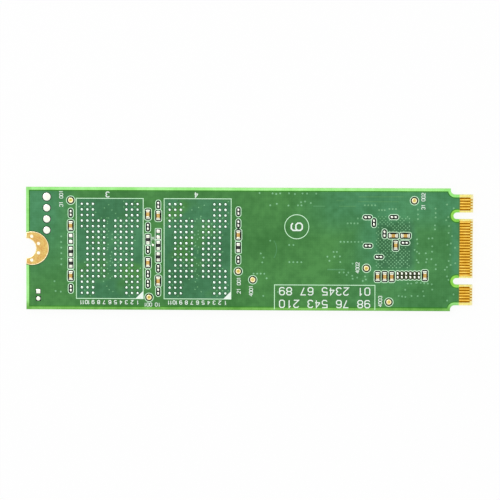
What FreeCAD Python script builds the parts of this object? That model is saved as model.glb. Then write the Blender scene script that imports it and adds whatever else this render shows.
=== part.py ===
import FreeCAD, Part
import math
import os

# Gumstick solid state drive, in millimetres.
# The card lies with its sparsely fitted face up (+Z) and its edge connector towards +X.
# The origin is under the middle of the card, at the level of the packages it lies on.
# The face that is down carries the memory, the controller and the power supply.

V = FreeCAD.Vector
SAME_POINT = 1e-6

# Card outline
BOARD_LENGTH = 80.0
BOARD_WIDTH = 22.0
BOARD_THICKNESS = 0.8
TONGUE_LENGTH = 4.0
SHOULDER_STEP = 1.075
SHOULDER_RADIUS = 0.8
KEY_WIDTH = 1.2
KEY_DEPTH = 3.5
EDGE_BEVEL_LENGTH = 0.4
EDGE_BEVEL_DEPTH = 0.2

# Screw notch and its earthing pads
NOTCH_RADIUS = 1.75
MOUNTING_PAD_RADIUS = 3.0
MOUNTING_PAD_INSET = 1.05

# Edge contacts: the two faces share one grid of half pitches, even places up and odd places down
CONTACT_PITCH = 0.5
CONTACT_WIDTH = 0.35
UPPER_CONTACT_LENGTH = 2.0
LOWER_CONTACT_LENGTH = 1.6
CONTACT_SETBACK = 0.45
CONTACT_SIDE_MARGIN = 0.6
UPPER_KEY_PLACE = 24.5
LOWER_KEY_PLACE = -22.5
PLACES_LOST_TO_A_KEY = 8

# Copper that stands on the board; its many small round pads are prisms with few sides
PLATING = 0.04
PAD_SIDES = 16
LAND_SIDES = 6

# Flash memory: packages below, unfitted land fields of the same outline above
FLASH_WIDTH = 12.0
FLASH_LENGTH = 18.0
FLASH_THICKNESS = 0.75
FLASH_FROM_MOUNTING_END = 9.0
FLASH_GAP = 3.75
BALL_STANDOFF = 0.25
LAND_PITCH = 1.0
LAND_RADIUS = 0.225
LAND_HALF_COLUMNS = 5
LAND_HALF_ROWS = 8
# The land pattern has an open cross: end rows only at the sides, full rows, and narrower middle rows
END_ROWS_START = 6
END_ROWS_FIRST_COLUMN = 3
FULL_ROWS_START = 4
FIRST_COLUMN = 1
MIDDLE_ROWS_LAST_COLUMN = 4

# Controller and its working memory
CONTROLLER_SIZE = 11.0
CONTROLLER_THICKNESS = 0.75
CONTROLLER_FROM_CARD_EDGE = 14.3
CONTROLLER_FROM_SIDE = 3.5
MEMORY_WIDTH = 8.0
MEMORY_LENGTH = 12.0
MEMORY_THICKNESS = 0.7
MEMORY_FROM_SIDE = 2.6

# Chip capacitors and resistors of the upper face
CAPACITOR_LENGTH = 1.1
CAPACITOR_WIDTH = 0.6
CAPACITOR_HEIGHT = 0.5
CAPACITOR_TERMINAL = 0.22
CAPACITOR_PAD_TOE = 0.26
RESISTOR_LENGTH = 1.0
RESISTOR_WIDTH = 0.5
RESISTOR_HEIGHT = 0.35
RESISTOR_TERMINAL = 0.22
RESISTOR_PAD_TOE = 0.28
TERMINAL_WRAP = 0.02
PAD_SIDE_MARGIN = 0.02
SMALL_PAD_LENGTH = 0.46
SMALL_PAD_WIDTH = 0.36
SMALL_PAD_SPACING = 0.66

# Columns beside the flash outlines, by their distance from the nearer outline
LEFT_COLUMN_CLEARANCE = 1.0
GAP_COLUMN_LEFT_CLEARANCE = 0.85
GAP_COLUMN_RIGHT_CLEARANCE = 1.05
RIGHT_COLUMN_CLEARANCE = 1.3

# What each column holds, from +Y to -Y, as (kind, place across the card).
# "open" is an unfitted resistor place, "small" an unfitted place of the smallest size.
LEFT_COLUMN = [
    ("small", 6.35), ("capacitor", 4.1), ("open", 1.75), ("resistor", -0.55),
    ("resistor", -2.65), ("capacitor", -4.9), ("small", -7.2),
]
GAP_COLUMN_LEFT = [
    ("capacitor", 6.2), ("small", 3.9), ("resistor", 1.65), ("small", -0.15),
    ("capacitor", -2.5), ("small", -4.55), ("small", -6.3),
]
GAP_COLUMN_RIGHT = [
    ("small", 7.85), ("capacitor", 5.95), ("open", 2.6), ("resistor", 0.6),
    ("resistor", -1.45), ("small", -3.5), ("capacitor", -5.8), ("small", -7.7),
]
RIGHT_COLUMN = [
    ("small", 6.7), ("small", 4.55), ("capacitor", 2.55), ("resistor", 0.3), ("small", -1.9),
]

# Small parts opposite the controller, as (kind, along, place from its centre)
CONTROLLER_PARTS = [
    ("small", "x", -4.55, 3.8), ("small", "x", 0.15, 3.85), ("small", "x", 2.15, -0.75),
    ("small", "x", -4.45, -1.3), ("small", "x", -2.45, -3.3),
    ("small", "y", -3.4, 2.85), ("small", "y", -1.5, 0.85), ("capacitor", "y", 0.5, -1.2),
]
CAPACITOR_PAIR_PLACE = (0.07, 0.53)
CAPACITOR_PAIR_GAP = 0.53
CAPACITOR_ROW_PLACE = (-2.69, -6.82)
CAPACITOR_ROW_PITCH = 1.26
CAPACITOR_ROW_COUNT = 3
SMALL_ROW_PLACE = (0.9, -6.6)
SMALL_ROW_PITCH = 0.76
SMALL_ROW_COUNT = 6
END_CAPACITOR_PLACE = (5.75, -6.6)

# Round pads of the upper face
TEST_POINT_RADIUS = 0.5
# Test points at the ends of columns, as (distance off the column, place across the card)
COLUMN_TEST_POINTS = {"left": (0.0, 8.65), "gap_left": (0.2, -8.75), "right": (0.0, -4.0)}
BUFFER_TEST_POINT = (2.6, -5.5)
CONTROLLER_TEST_POINTS = [(3.8, 6.8), (-4.7, -5.35)]
SIDE_TEST_POINT_OFF_CONTROLLER = -0.65
SIDE_TEST_POINT_FROM_SIDE = 1.6
HEADER_FROM_MOUNTING_END = 3.7
HEADER_OFF_MOUNTING_PAD = 0.25
HEADER_PITCH = 2.0
HEADER_SIDE_MARGIN = 1.5
HEADER_PAD_RADIUS = 0.65
HEADER_LAST_PAD_RADIUS = 0.73
JUMPER_FROM_MOUNTING_END = 2.15
JUMPER_FROM_SIDE = 1.95
JUMPER_PITCH = 1.3
JUMPER_PAD_SIZE = 0.8

# Power supply and clock on the lower face
POWER_ROW_CLEARANCE = 1.2
REGULATOR_LENGTH = 2.9
REGULATOR_WIDTH = 1.6
REGULATOR_HEIGHT = 0.85
REGULATOR_STANDOFF = 0.05
REGULATOR_DRAFT = 0.1
LEAD_PITCH = 0.95
LEAD_WIDTH = 0.4
LEAD_THICKNESS = 0.12
LEAD_SPAN = 2.8
LEAD_FOOT = 0.4
LEAD_KNEE = 0.1
LEADS_PER_SIDE = 3
INDUCTOR_LENGTH = 2.5
INDUCTOR_WIDTH = 2.0
INDUCTOR_HEIGHT = 0.9
INDUCTOR_CORNER = 0.3
INDUCTOR_FOOT = 0.6
INDUCTOR_PLATE = 0.1
POWER_PART_GAP = 1.0
BULK_LENGTH = 2.0
BULK_WIDTH = 1.25
BULK_HEIGHT = 0.85
BULK_TERMINAL = 0.45
BULK_PITCH = 1.9
BULK_COUNT = 2
CRYSTAL_LENGTH = 2.5
CRYSTAL_WIDTH = 2.0
CRYSTAL_BASE_HEIGHT = 0.35
CRYSTAL_LID_HEIGHT = 0.2
CRYSTAL_LID_MARGIN = 0.2
CRYSTAL_LID_CORNER = 0.25
CRYSTAL_FROM_SIDE = 0.8
CRYSTAL_OFF_CONTROLLER = -3.0

# Small parts of the lower face
LOWER_CHIP_LENGTH = 1.0
LOWER_CHIP_WIDTH = 0.5
LOWER_CAPACITOR_HEIGHT = 0.5
LOWER_RESISTOR_HEIGHT = 0.35
LOWER_CHIP_TERMINAL = 0.25
LOWER_COLUMN_CLEARANCE = 1.2
FLASH_CHIP_PITCH = 2.6
FLASH_CHIP_COUNT = 6
CONTROLLER_CHIP_PITCH = 1.9
CONTROLLER_CHIP_COUNT = 5
COUPLING_PITCH = 1.0
COUPLING_COUNT = 4
COUPLING_GAP = 1.8
MEMORY_RESISTOR_PITCH = 1.8
CONTROLLER_RESISTOR_PITCH = 1.4
RESISTOR_ROW_COUNT = 4

# Levels and anchor places worked out from the values above
DEEPEST_LOWER_PART = max(
    BALL_STANDOFF + max(FLASH_THICKNESS, CONTROLLER_THICKNESS, MEMORY_THICKNESS),
    REGULATOR_HEIGHT, INDUCTOR_HEIGHT, BULK_HEIGHT,
    CRYSTAL_BASE_HEIGHT + CRYSTAL_LID_HEIGHT,
    LOWER_CAPACITOR_HEIGHT, LOWER_RESISTOR_HEIGHT,
)
UNDERSIDE = DEEPEST_LOWER_PART
TOP = UNDERSIDE + BOARD_THICKNESS
UP = 1
DOWN = -1
MOUNTING_END = -BOARD_LENGTH / 2
CARD_EDGE = BOARD_LENGTH / 2
HALF_WIDTH = BOARD_WIDTH / 2
HALF_TONGUE = HALF_WIDTH - SHOULDER_STEP
SHOULDER = CARD_EDGE - TONGUE_LENGTH
FLASH_LEFT = MOUNTING_END + FLASH_FROM_MOUNTING_END + FLASH_WIDTH / 2
FLASH_RIGHT = FLASH_LEFT + FLASH_WIDTH + FLASH_GAP
CONTROLLER = (
    CARD_EDGE - CONTROLLER_FROM_CARD_EDGE,
    HALF_WIDTH - CONTROLLER_FROM_SIDE - CONTROLLER_SIZE / 2,
)
MEMORY = (
    (FLASH_RIGHT + FLASH_WIDTH / 2 + CONTROLLER[0] - CONTROLLER_SIZE / 2) / 2,
    HALF_WIDTH - MEMORY_FROM_SIDE - MEMORY_LENGTH / 2,
)
COLUMN_PLACES = {
    "left": FLASH_LEFT - FLASH_WIDTH / 2 - LEFT_COLUMN_CLEARANCE,
    "gap_left": FLASH_LEFT + FLASH_WIDTH / 2 + GAP_COLUMN_LEFT_CLEARANCE,
    "gap_right": FLASH_RIGHT - FLASH_WIDTH / 2 - GAP_COLUMN_RIGHT_CLEARANCE,
    "right": FLASH_RIGHT + FLASH_WIDTH / 2 + RIGHT_COLUMN_CLEARANCE,
}


def slab(x, y, size_x, size_y, z, height):
    """Box centred on (x, y) that starts at z; a negative height hangs it below z."""
    low = min(z, z + height)
    return Part.makeBox(size_x, size_y, abs(height), V(x - size_x / 2, y - size_y / 2, low))


def disc(x, y, radius, z, height):
    """Round plate centred on (x, y) that rises from z."""
    return Part.makeCylinder(radius, height, V(x, y, z))


def polygon_face(corners):
    """Flat face through the given corners."""
    return Part.Face(Part.makePolygon(corners + corners[:1]))


def path_face(start, steps, z):
    """Flat face at z bounded by straight steps (end,) and arc steps (through, end)."""
    edges = []
    here = V(*start, z)
    for step in steps:
        end = V(*step[-1], z)
        if len(step) == 2:
            edges.append(Part.Arc(here, V(*step[0], z), end).toShape())
        else:
            edges.append(Part.makeLine(here, end))
        here = end
    return Part.Face(Part.Wire(edges))


def rectangle_wire(x, y, size_x, size_y, z):
    """Closed rectangular wire centred on (x, y)."""
    half_x = size_x / 2
    half_y = size_y / 2
    corners = [V(x - half_x, y - half_y, z), V(x + half_x, y - half_y, z),
               V(x + half_x, y + half_y, z), V(x - half_x, y + half_y, z)]
    return Part.makePolygon(corners + corners[:1])


def cut_corner_slab(x, y, size_x, size_y, corner, z, height):
    """Slab whose four upright edges are cut off at 45 degrees."""
    long_x = size_x / 2
    long_y = size_y / 2
    short_x = long_x - corner
    short_y = long_y - corner
    outline = [(short_x, -long_y), (long_x, -short_y), (long_x, short_y), (short_x, long_y),
               (-short_x, long_y), (-long_x, short_y), (-long_x, -short_y), (-short_x, -long_y)]
    face = polygon_face([V(x + dx, y + dy, z) for dx, dy in outline])
    return face.extrude(V(0, 0, height))


# Circuit board

def key_centre(place):
    """Place across the card of a key notch, from its place on the grid of half pitches."""
    return place * CONTACT_PITCH / 2


def key_steps(centre):
    """Outline steps into and out of one key notch, from -Y to +Y along the card edge."""
    half = KEY_WIDTH / 2
    bottom = CARD_EDGE - KEY_DEPTH
    straight = bottom + half
    return [
        ((CARD_EDGE, centre - half),),
        ((straight, centre - half),),
        ((bottom, centre), (straight, centre + half)),
        ((CARD_EDGE, centre + half),),
    ]


def board_outline():
    """Outline of the card: screw notch, shoulders, tongue and key notches."""
    radius = min(SHOULDER_RADIUS, SHOULDER_STEP, TONGUE_LENGTH)
    bulge = radius * (1 - math.sqrt(0.5))
    steps = [
        ((SHOULDER, -HALF_WIDTH),),
        ((SHOULDER, -HALF_TONGUE - radius),),
        ((SHOULDER + bulge, -HALF_TONGUE - bulge), (SHOULDER + radius, -HALF_TONGUE)),
        ((CARD_EDGE, -HALF_TONGUE),),
    ]
    for place in sorted([LOWER_KEY_PLACE, UPPER_KEY_PLACE]):
        steps += key_steps(key_centre(place))
    steps += [
        ((CARD_EDGE, HALF_TONGUE),),
        ((SHOULDER + radius, HALF_TONGUE),),
        ((SHOULDER + bulge, HALF_TONGUE + bulge), (SHOULDER, HALF_TONGUE + radius)),
        ((SHOULDER, HALF_WIDTH),),
        ((MOUNTING_END, HALF_WIDTH),),
        ((MOUNTING_END, NOTCH_RADIUS),),
        ((MOUNTING_END + NOTCH_RADIUS, 0), (MOUNTING_END, -NOTCH_RADIUS)),
        ((MOUNTING_END, -HALF_WIDTH),),
    ]
    start = (MOUNTING_END, -HALF_WIDTH)
    befores = [start] + [step[-1] for step in steps]
    steps = [step for step, before in zip(steps, befores) if math.dist(step[-1], before) > SAME_POINT]
    return path_face(start, steps, UNDERSIDE)


def edge_bevel(z, side):
    """Wedge that bevels one face of the card edge."""
    start = CARD_EDGE - EDGE_BEVEL_LENGTH
    corners = [V(start, -HALF_WIDTH, z), V(CARD_EDGE, -HALF_WIDTH, z),
               V(CARD_EDGE, -HALF_WIDTH, z - side * EDGE_BEVEL_DEPTH)]
    return polygon_face(corners).extrude(V(0, BOARD_WIDTH, 0))


def circuit_board():
    blank = board_outline().extrude(V(0, 0, BOARD_THICKNESS))
    return blank.cut([edge_bevel(TOP, UP), edge_bevel(UNDERSIDE, DOWN)])


# Copper on the board

def contact_row(remainder, length, z, height):
    """Contacts on every other half pitch across the tongue, clear of the two keys."""
    half_pitch = CONTACT_PITCH / 2
    reach = int((HALF_TONGUE - CONTACT_SIDE_MARGIN) / half_pitch)
    middle = CARD_EDGE - CONTACT_SETBACK - length / 2
    nearest = PLACES_LOST_TO_A_KEY / 2
    contacts = []
    for place in range(-reach, reach + 1):
        clear = min(abs(place - LOWER_KEY_PLACE), abs(place - UPPER_KEY_PLACE)) >= nearest
        if place % 2 == remainder and clear:
            contacts.append(slab(middle, place * half_pitch, length, CONTACT_WIDTH, z, height))
    return contacts


def mounting_pad(z):
    """Earthing pad round the screw notch, cut off at the end of the card."""
    pad = disc(MOUNTING_END + MOUNTING_PAD_INSET, 0, MOUNTING_PAD_RADIUS, z, PLATING)
    reach = MOUNTING_PAD_INSET + MOUNTING_PAD_RADIUS
    on_board = slab(MOUNTING_END + reach / 2, 0, reach, 2 * MOUNTING_PAD_RADIUS, z, PLATING)
    notch = disc(MOUNTING_END, 0, NOTCH_RADIUS, z, PLATING)
    return pad.common(on_board).cut(notch)


def has_land(column, row):
    """Land pattern of a flash package, counted from its middle."""
    if row >= END_ROWS_START:
        return column >= END_ROWS_FIRST_COLUMN
    if row >= FULL_ROWS_START:
        return column >= FIRST_COLUMN
    return FIRST_COLUMN <= column <= MIDDLE_ROWS_LAST_COLUMN


def round_pad(x, y, radius, sides):
    """Small round pad on the upper face, as a low regular prism."""
    corners = []
    for i in range(sides):
        angle = 2 * math.pi * i / sides
        corners.append(V(x + radius * math.cos(angle), y + radius * math.sin(angle), TOP))
    return polygon_face(corners).extrude(V(0, 0, PLATING))


def land_field(centre):
    """All lands of one unfitted flash place."""
    lands = []
    for column in range(-LAND_HALF_COLUMNS, LAND_HALF_COLUMNS + 1):
        for row in range(-LAND_HALF_ROWS, LAND_HALF_ROWS + 1):
            if has_land(abs(column), abs(row)):
                x = centre + column * LAND_PITCH
                lands.append(round_pad(x, row * LAND_PITCH, LAND_RADIUS, LAND_SIDES))
    return lands


def test_points():
    places = [(COLUMN_PLACES[name] + off, y) for name, (off, y) in COLUMN_TEST_POINTS.items()]
    places.append((COLUMN_PLACES["right"] + BUFFER_TEST_POINT[0], BUFFER_TEST_POINT[1]))
    places += [(CONTROLLER[0] + dx, CONTROLLER[1] + dy) for dx, dy in CONTROLLER_TEST_POINTS]
    side_place = -HALF_WIDTH + SIDE_TEST_POINT_FROM_SIDE
    places.append((CONTROLLER[0] + SIDE_TEST_POINT_OFF_CONTROLLER, side_place))
    return [round_pad(x, y, TEST_POINT_RADIUS, PAD_SIDES) for x, y in places]


def header_pads():
    """Column of round pads from the mounting pad to the +Y side, the last one larger."""
    first = MOUNTING_PAD_RADIUS + HEADER_OFF_MOUNTING_PAD
    room = HALF_WIDTH - HEADER_SIDE_MARGIN - first
    last = int(room / HEADER_PITCH)
    x = MOUNTING_END + HEADER_FROM_MOUNTING_END
    pads = []
    for i in range(last + 1):
        radius = HEADER_LAST_PAD_RADIUS if i == last else HEADER_PAD_RADIUS
        pads.append(round_pad(x, first + i * HEADER_PITCH, radius, PAD_SIDES))
    return pads


def jumper_pads():
    x = MOUNTING_END + JUMPER_FROM_MOUNTING_END
    y = -HALF_WIDTH + JUMPER_FROM_SIDE
    square = slab(x, y + JUMPER_PITCH, JUMPER_PAD_SIZE, JUMPER_PAD_SIZE, TOP, PLATING)
    return [square, round_pad(x, y, JUMPER_PAD_SIZE / 2, PAD_SIDES)]


# Chip parts

def chip(x, y, along, size, terminal, z, side):
    """Body and two end terminals of a chip part that lies along x or y on a face at z."""
    length, width, height = size
    body_length = length - 2 * terminal
    body_width = width - 2 * TERMINAL_WRAP
    shift = (length - terminal) / 2
    if along == "x":
        ends = [slab(x + s * shift, y, terminal, width, z, side * height) for s in (-1, 1)]
        body_size = (body_length, body_width)
    else:
        ends = [slab(x, y + s * shift, width, terminal, z, side * height) for s in (-1, 1)]
        body_size = (body_width, body_length)
    body = slab(x, y, *body_size, z + side * TERMINAL_WRAP, side * (height - 2 * TERMINAL_WRAP))
    return body, ends


def pad_pair(x, y, along, spacing, pad_length, pad_width):
    """Two pads on the upper face, spacing apart between their middles."""
    if along == "x":
        return [slab(x + s * spacing / 2, y, pad_length, pad_width, TOP, PLATING) for s in (-1, 1)]
    return [slab(x, y + s * spacing / 2, pad_width, pad_length, TOP, PLATING) for s in (-1, 1)]


def chip_pads(x, y, along, length, width, terminal, toe):
    """Pads under the terminals of a chip part, reaching past its ends by the toe."""
    pad_length = terminal + toe
    return pad_pair(x, y, along, length - terminal + toe, pad_length, width + 2 * PAD_SIDE_MARGIN)


def upper_places():
    """Every small part place of the upper face, as (kind, along, x, y)."""
    places = []
    columns = {"left": LEFT_COLUMN, "gap_left": GAP_COLUMN_LEFT, "gap_right": GAP_COLUMN_RIGHT,
               "right": RIGHT_COLUMN}
    for name, column in columns.items():
        places += [(kind, "y", COLUMN_PLACES[name], y) for kind, y in column]
    x, y = CONTROLLER
    places += [(kind, along, x + dx, y + dy) for kind, along, dx, dy in CONTROLLER_PARTS]
    pair_pitch = CAPACITOR_LENGTH + 2 * CAPACITOR_PAD_TOE + CAPACITOR_PAIR_GAP
    for i in range(2):
        dx, dy = CAPACITOR_PAIR_PLACE
        places.append(("capacitor", "x", x + dx + i * pair_pitch, y + dy))
    for i in range(CAPACITOR_ROW_COUNT):
        dx, dy = CAPACITOR_ROW_PLACE
        places.append(("capacitor", "y", x + dx + i * CAPACITOR_ROW_PITCH, y + dy))
    for i in range(SMALL_ROW_COUNT):
        dx, dy = SMALL_ROW_PLACE
        places.append(("small", "y", x + dx + i * SMALL_ROW_PITCH, y + dy))
    dx, dy = END_CAPACITOR_PLACE
    places.append(("capacitor", "y", x + dx, y + dy))
    return places


def upper_small_parts():
    """Pads, bodies and terminals of the small parts of the upper face, by node name."""
    nodes = {"passive_pads": [], "chip_capacitor_bodies": [], "chip_capacitor_terminals": [],
             "chip_resistor_bodies": [], "chip_resistor_terminals": []}
    sizes = {
        "capacitor": ((CAPACITOR_LENGTH, CAPACITOR_WIDTH, CAPACITOR_HEIGHT), CAPACITOR_TERMINAL),
        "resistor": ((RESISTOR_LENGTH, RESISTOR_WIDTH, RESISTOR_HEIGHT), RESISTOR_TERMINAL),
    }
    for kind, along, x, y in upper_places():
        if kind == "small":
            nodes["passive_pads"] += pad_pair(x, y, along, SMALL_PAD_SPACING,
                                              SMALL_PAD_LENGTH, SMALL_PAD_WIDTH)
        elif kind == "capacitor":
            nodes["passive_pads"] += chip_pads(x, y, along, CAPACITOR_LENGTH, CAPACITOR_WIDTH,
                                               CAPACITOR_TERMINAL, CAPACITOR_PAD_TOE)
        else:
            nodes["passive_pads"] += chip_pads(x, y, along, RESISTOR_LENGTH, RESISTOR_WIDTH,
                                               RESISTOR_TERMINAL, RESISTOR_PAD_TOE)
        if kind in sizes:
            size, terminal = sizes[kind]
            body, ends = chip(x, y, along, size, terminal, TOP + PLATING, UP)
            nodes["chip_%s_bodies" % kind].append(body)
            nodes["chip_%s_terminals" % kind] += ends
    return nodes


def lower_row(x, y, along, count, pitch, run):
    """Places of a row of chip parts centred on (x, y), running along x or y."""
    shifts = [(i - (count - 1) / 2) * pitch for i in range(count)]
    if run == "x":
        return [(along, x + shift, y) for shift in shifts]
    return [(along, x, y + shift) for shift in shifts]


def lower_capacitor_places():
    """Decoupling capacitors beside the packages and coupling capacitors by the connector."""
    left = FLASH_LEFT - FLASH_WIDTH / 2 - LOWER_COLUMN_CLEARANCE
    between = (FLASH_LEFT + FLASH_RIGHT) / 2
    right = FLASH_RIGHT + FLASH_WIDTH / 2 + LOWER_COLUMN_CLEARANCE
    x, y = CONTROLLER
    beside = CONTROLLER_SIZE / 2 + LOWER_COLUMN_CLEARANCE
    places = []
    for column in (left, between, right):
        places += lower_row(column, 0, "y", FLASH_CHIP_COUNT, FLASH_CHIP_PITCH, "y")
    for column in (x - beside, x + beside):
        places += lower_row(column, y, "y", CONTROLLER_CHIP_COUNT, CONTROLLER_CHIP_PITCH, "y")
    places += lower_row(x + beside + COUPLING_GAP, y, "x", COUPLING_COUNT, COUPLING_PITCH, "y")
    return places


def lower_resistor_places():
    """Resistors in a row above the memory and a row above the controller."""
    memory_top = MEMORY[1] + MEMORY_LENGTH / 2
    controller_top = CONTROLLER[1] + CONTROLLER_SIZE / 2
    places = lower_row(MEMORY[0], (memory_top + HALF_WIDTH) / 2, "x", RESISTOR_ROW_COUNT,
                       MEMORY_RESISTOR_PITCH, "x")
    row_middle = CONTROLLER[0] + (RESISTOR_ROW_COUNT - 1) / 2 * CONTROLLER_RESISTOR_PITCH
    places += lower_row(row_middle, (controller_top + HALF_WIDTH) / 2, "y", RESISTOR_ROW_COUNT,
                        CONTROLLER_RESISTOR_PITCH, "x")
    return places


def lower_chips(places, height):
    """Bodies and terminals of chip parts under the board."""
    bodies = []
    terminals = []
    size = (LOWER_CHIP_LENGTH, LOWER_CHIP_WIDTH, height)
    for along, x, y in places:
        body, ends = chip(x, y, along, size, LOWER_CHIP_TERMINAL, UNDERSIDE, DOWN)
        bodies.append(body)
        terminals += ends
    return bodies, terminals


# Packages and power parts under the board

def package(x, y, size_x, size_y, thickness):
    """Moulded ball-grid package, held off the board by its solder balls."""
    return slab(x, y, size_x, size_y, UNDERSIDE - BALL_STANDOFF, -thickness)


def power_places():
    """Middles of the two regulators and of the inductor beside each."""
    drop = POWER_ROW_CLEARANCE + LEAD_SPAN / 2
    pitch = (REGULATOR_LENGTH + INDUCTOR_LENGTH) / 2 + POWER_PART_GAP
    memory_row = (MEMORY[0] - pitch / 2, MEMORY[1] - MEMORY_LENGTH / 2 - drop)
    controller_row = (CONTROLLER[0] - pitch, CONTROLLER[1] - CONTROLLER_SIZE / 2 - drop)
    regulators = [memory_row, controller_row]
    inductors = [(x + pitch, y) for x, y in regulators]
    return regulators, inductors


def regulator_body(x, y):
    """Moulded body with drafted faces and an upright band where the leads come out."""
    near = UNDERSIDE - REGULATOR_STANDOFF
    far = UNDERSIDE - REGULATOR_HEIGHT
    middle = (near + far) / 2
    levels = [(near, REGULATOR_DRAFT), (middle + LEAD_THICKNESS / 2, 0),
              (middle - LEAD_THICKNESS / 2, 0), (far, REGULATOR_DRAFT)]
    wires = []
    for z, inset in levels:
        wires.append(rectangle_wire(x, y, REGULATOR_LENGTH - 2 * inset, REGULATOR_WIDTH - 2 * inset, z))
    return Part.makeLoft(wires, True, True)


def regulator_leads(x, y):
    """Gull-wing leads, from the body's band down to feet on the board."""
    exit_level = (REGULATOR_STANDOFF + REGULATOR_HEIGHT) / 2
    half = LEAD_THICKNESS / 2
    wall = REGULATOR_WIDTH / 2
    knee = wall + LEAD_KNEE
    tip = LEAD_SPAN / 2
    heel = tip - LEAD_FOOT
    profile = [
        (wall, exit_level + half), (knee + half, exit_level + half), (heel + half, LEAD_THICKNESS),
        (tip, LEAD_THICKNESS), (tip, 0), (heel, 0), (knee, exit_level - half), (wall, exit_level - half),
    ]
    leads = []
    for i in range(LEADS_PER_SIDE):
        start = x + (i - (LEADS_PER_SIDE - 1) / 2) * LEAD_PITCH - LEAD_WIDTH / 2
        for s in (-1, 1):
            corners = [V(start, y + s * out, UNDERSIDE - down) for out, down in profile]
            leads.append(polygon_face(corners).extrude(V(LEAD_WIDTH, 0, 0)))
    return leads


def inductor(x, y):
    """Moulded inductor body on two plates that wrap under its ends."""
    body_length = INDUCTOR_LENGTH - 2 * INDUCTOR_PLATE
    body = cut_corner_slab(x, y, body_length, INDUCTOR_WIDTH, INDUCTOR_CORNER,
                           UNDERSIDE - INDUCTOR_PLATE, -(INDUCTOR_HEIGHT - INDUCTOR_PLATE))
    plate_width = INDUCTOR_WIDTH - 2 * INDUCTOR_CORNER
    wall = body_length / 2
    outer = INDUCTOR_LENGTH / 2
    rise = INDUCTOR_HEIGHT / 2
    profile = [(outer - INDUCTOR_FOOT, 0), (outer, 0), (outer, rise), (wall, rise),
               (wall, INDUCTOR_PLATE), (outer - INDUCTOR_FOOT, INDUCTOR_PLATE)]
    plates = []
    for s in (-1, 1):
        corners = [V(x + s * out, y - plate_width / 2, UNDERSIDE - down) for out, down in profile]
        plates.append(polygon_face(corners).extrude(V(0, plate_width, 0)))
    return body, plates


def bulk_capacitors():
    """Larger capacitors beside the controller's inductor."""
    inductor_x, row_y = power_places()[1][1]
    x = inductor_x + (INDUCTOR_LENGTH + BULK_LENGTH) / 2 + POWER_PART_GAP
    size = (BULK_LENGTH, BULK_WIDTH, BULK_HEIGHT)
    bodies = []
    terminals = []
    for along, chip_x, chip_y in lower_row(x, row_y, "x", BULK_COUNT, BULK_PITCH, "y"):
        body, ends = chip(chip_x, chip_y, along, size, BULK_TERMINAL, UNDERSIDE, DOWN)
        bodies.append(body)
        terminals += ends
    return bodies, terminals


def crystal():
    """Ceramic base and metal lid of the crystal unit."""
    x = CONTROLLER[0] + CRYSTAL_OFF_CONTROLLER
    y = HALF_WIDTH - CRYSTAL_FROM_SIDE - CRYSTAL_WIDTH / 2
    base = slab(x, y, CRYSTAL_LENGTH, CRYSTAL_WIDTH, UNDERSIDE, -CRYSTAL_BASE_HEIGHT)
    lid_length = CRYSTAL_LENGTH - 2 * CRYSTAL_LID_MARGIN
    lid_width = CRYSTAL_WIDTH - 2 * CRYSTAL_LID_MARGIN
    lid = cut_corner_slab(x, y, lid_length, lid_width, CRYSTAL_LID_CORNER,
                          UNDERSIDE - CRYSTAL_BASE_HEIGHT, -CRYSTAL_LID_HEIGHT)
    return base, lid


def power_parts():
    """Regulators, inductors and bulk capacitors, by node name."""
    regulators, inductors = power_places()
    nodes = {"regulator_bodies": [], "regulator_leads": [],
             "inductor_bodies": [], "inductor_terminals": []}
    for x, y in regulators:
        nodes["regulator_bodies"].append(regulator_body(x, y))
        nodes["regulator_leads"] += regulator_leads(x, y)
    for x, y in inductors:
        body, plates = inductor(x, y)
        nodes["inductor_bodies"].append(body)
        nodes["inductor_terminals"] += plates
    nodes["bulk_capacitor_bodies"], nodes["bulk_capacitor_terminals"] = bulk_capacitors()
    return nodes


def all_nodes():
    """Every node of the drive, as lists of solids."""
    nodes = {
        "circuit_board": [circuit_board()],
        "upper_edge_contacts": contact_row(0, UPPER_CONTACT_LENGTH, TOP, PLATING),
        "lower_edge_contacts": contact_row(1, LOWER_CONTACT_LENGTH, UNDERSIDE, -PLATING),
        "upper_mounting_pad": [mounting_pad(TOP)],
        "lower_mounting_pad": [mounting_pad(UNDERSIDE - PLATING)],
        "flash_lands_left": land_field(FLASH_LEFT),
        "flash_lands_right": land_field(FLASH_RIGHT),
        "test_points": test_points(),
        "service_header_pads": header_pads(),
        "jumper_pads": jumper_pads(),
        "flash_package_left": [package(FLASH_LEFT, 0, FLASH_WIDTH, FLASH_LENGTH, FLASH_THICKNESS)],
        "flash_package_right": [package(FLASH_RIGHT, 0, FLASH_WIDTH, FLASH_LENGTH, FLASH_THICKNESS)],
        "controller_package": [
            package(*CONTROLLER, CONTROLLER_SIZE, CONTROLLER_SIZE, CONTROLLER_THICKNESS)
        ],
        "buffer_memory_package": [package(*MEMORY, MEMORY_WIDTH, MEMORY_LENGTH, MEMORY_THICKNESS)],
    }
    nodes.update(upper_small_parts())
    nodes.update(power_parts())
    base, lid = crystal()
    nodes["crystal_base"] = [base]
    nodes["crystal_lid"] = [lid]
    bodies, terminals = lower_chips(lower_capacitor_places(), LOWER_CAPACITOR_HEIGHT)
    nodes["lower_capacitor_bodies"] = bodies
    nodes["lower_capacitor_terminals"] = terminals
    bodies, terminals = lower_chips(lower_resistor_places(), LOWER_RESISTOR_HEIGHT)
    nodes["lower_resistor_bodies"] = bodies
    nodes["lower_resistor_terminals"] = terminals
    return nodes


def main():
    os.makedirs("parts", exist_ok=True)
    for name, solids in all_nodes().items():
        shape = solids[0] if len(solids) == 1 else Part.makeCompound(solids)
        shape.exportStep(os.path.join("parts", name + ".step"))


main()
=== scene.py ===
import math
import random

import bmesh
import bpy
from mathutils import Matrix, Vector
from mathutils.geometry import delaunay_2d_cdt


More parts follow.
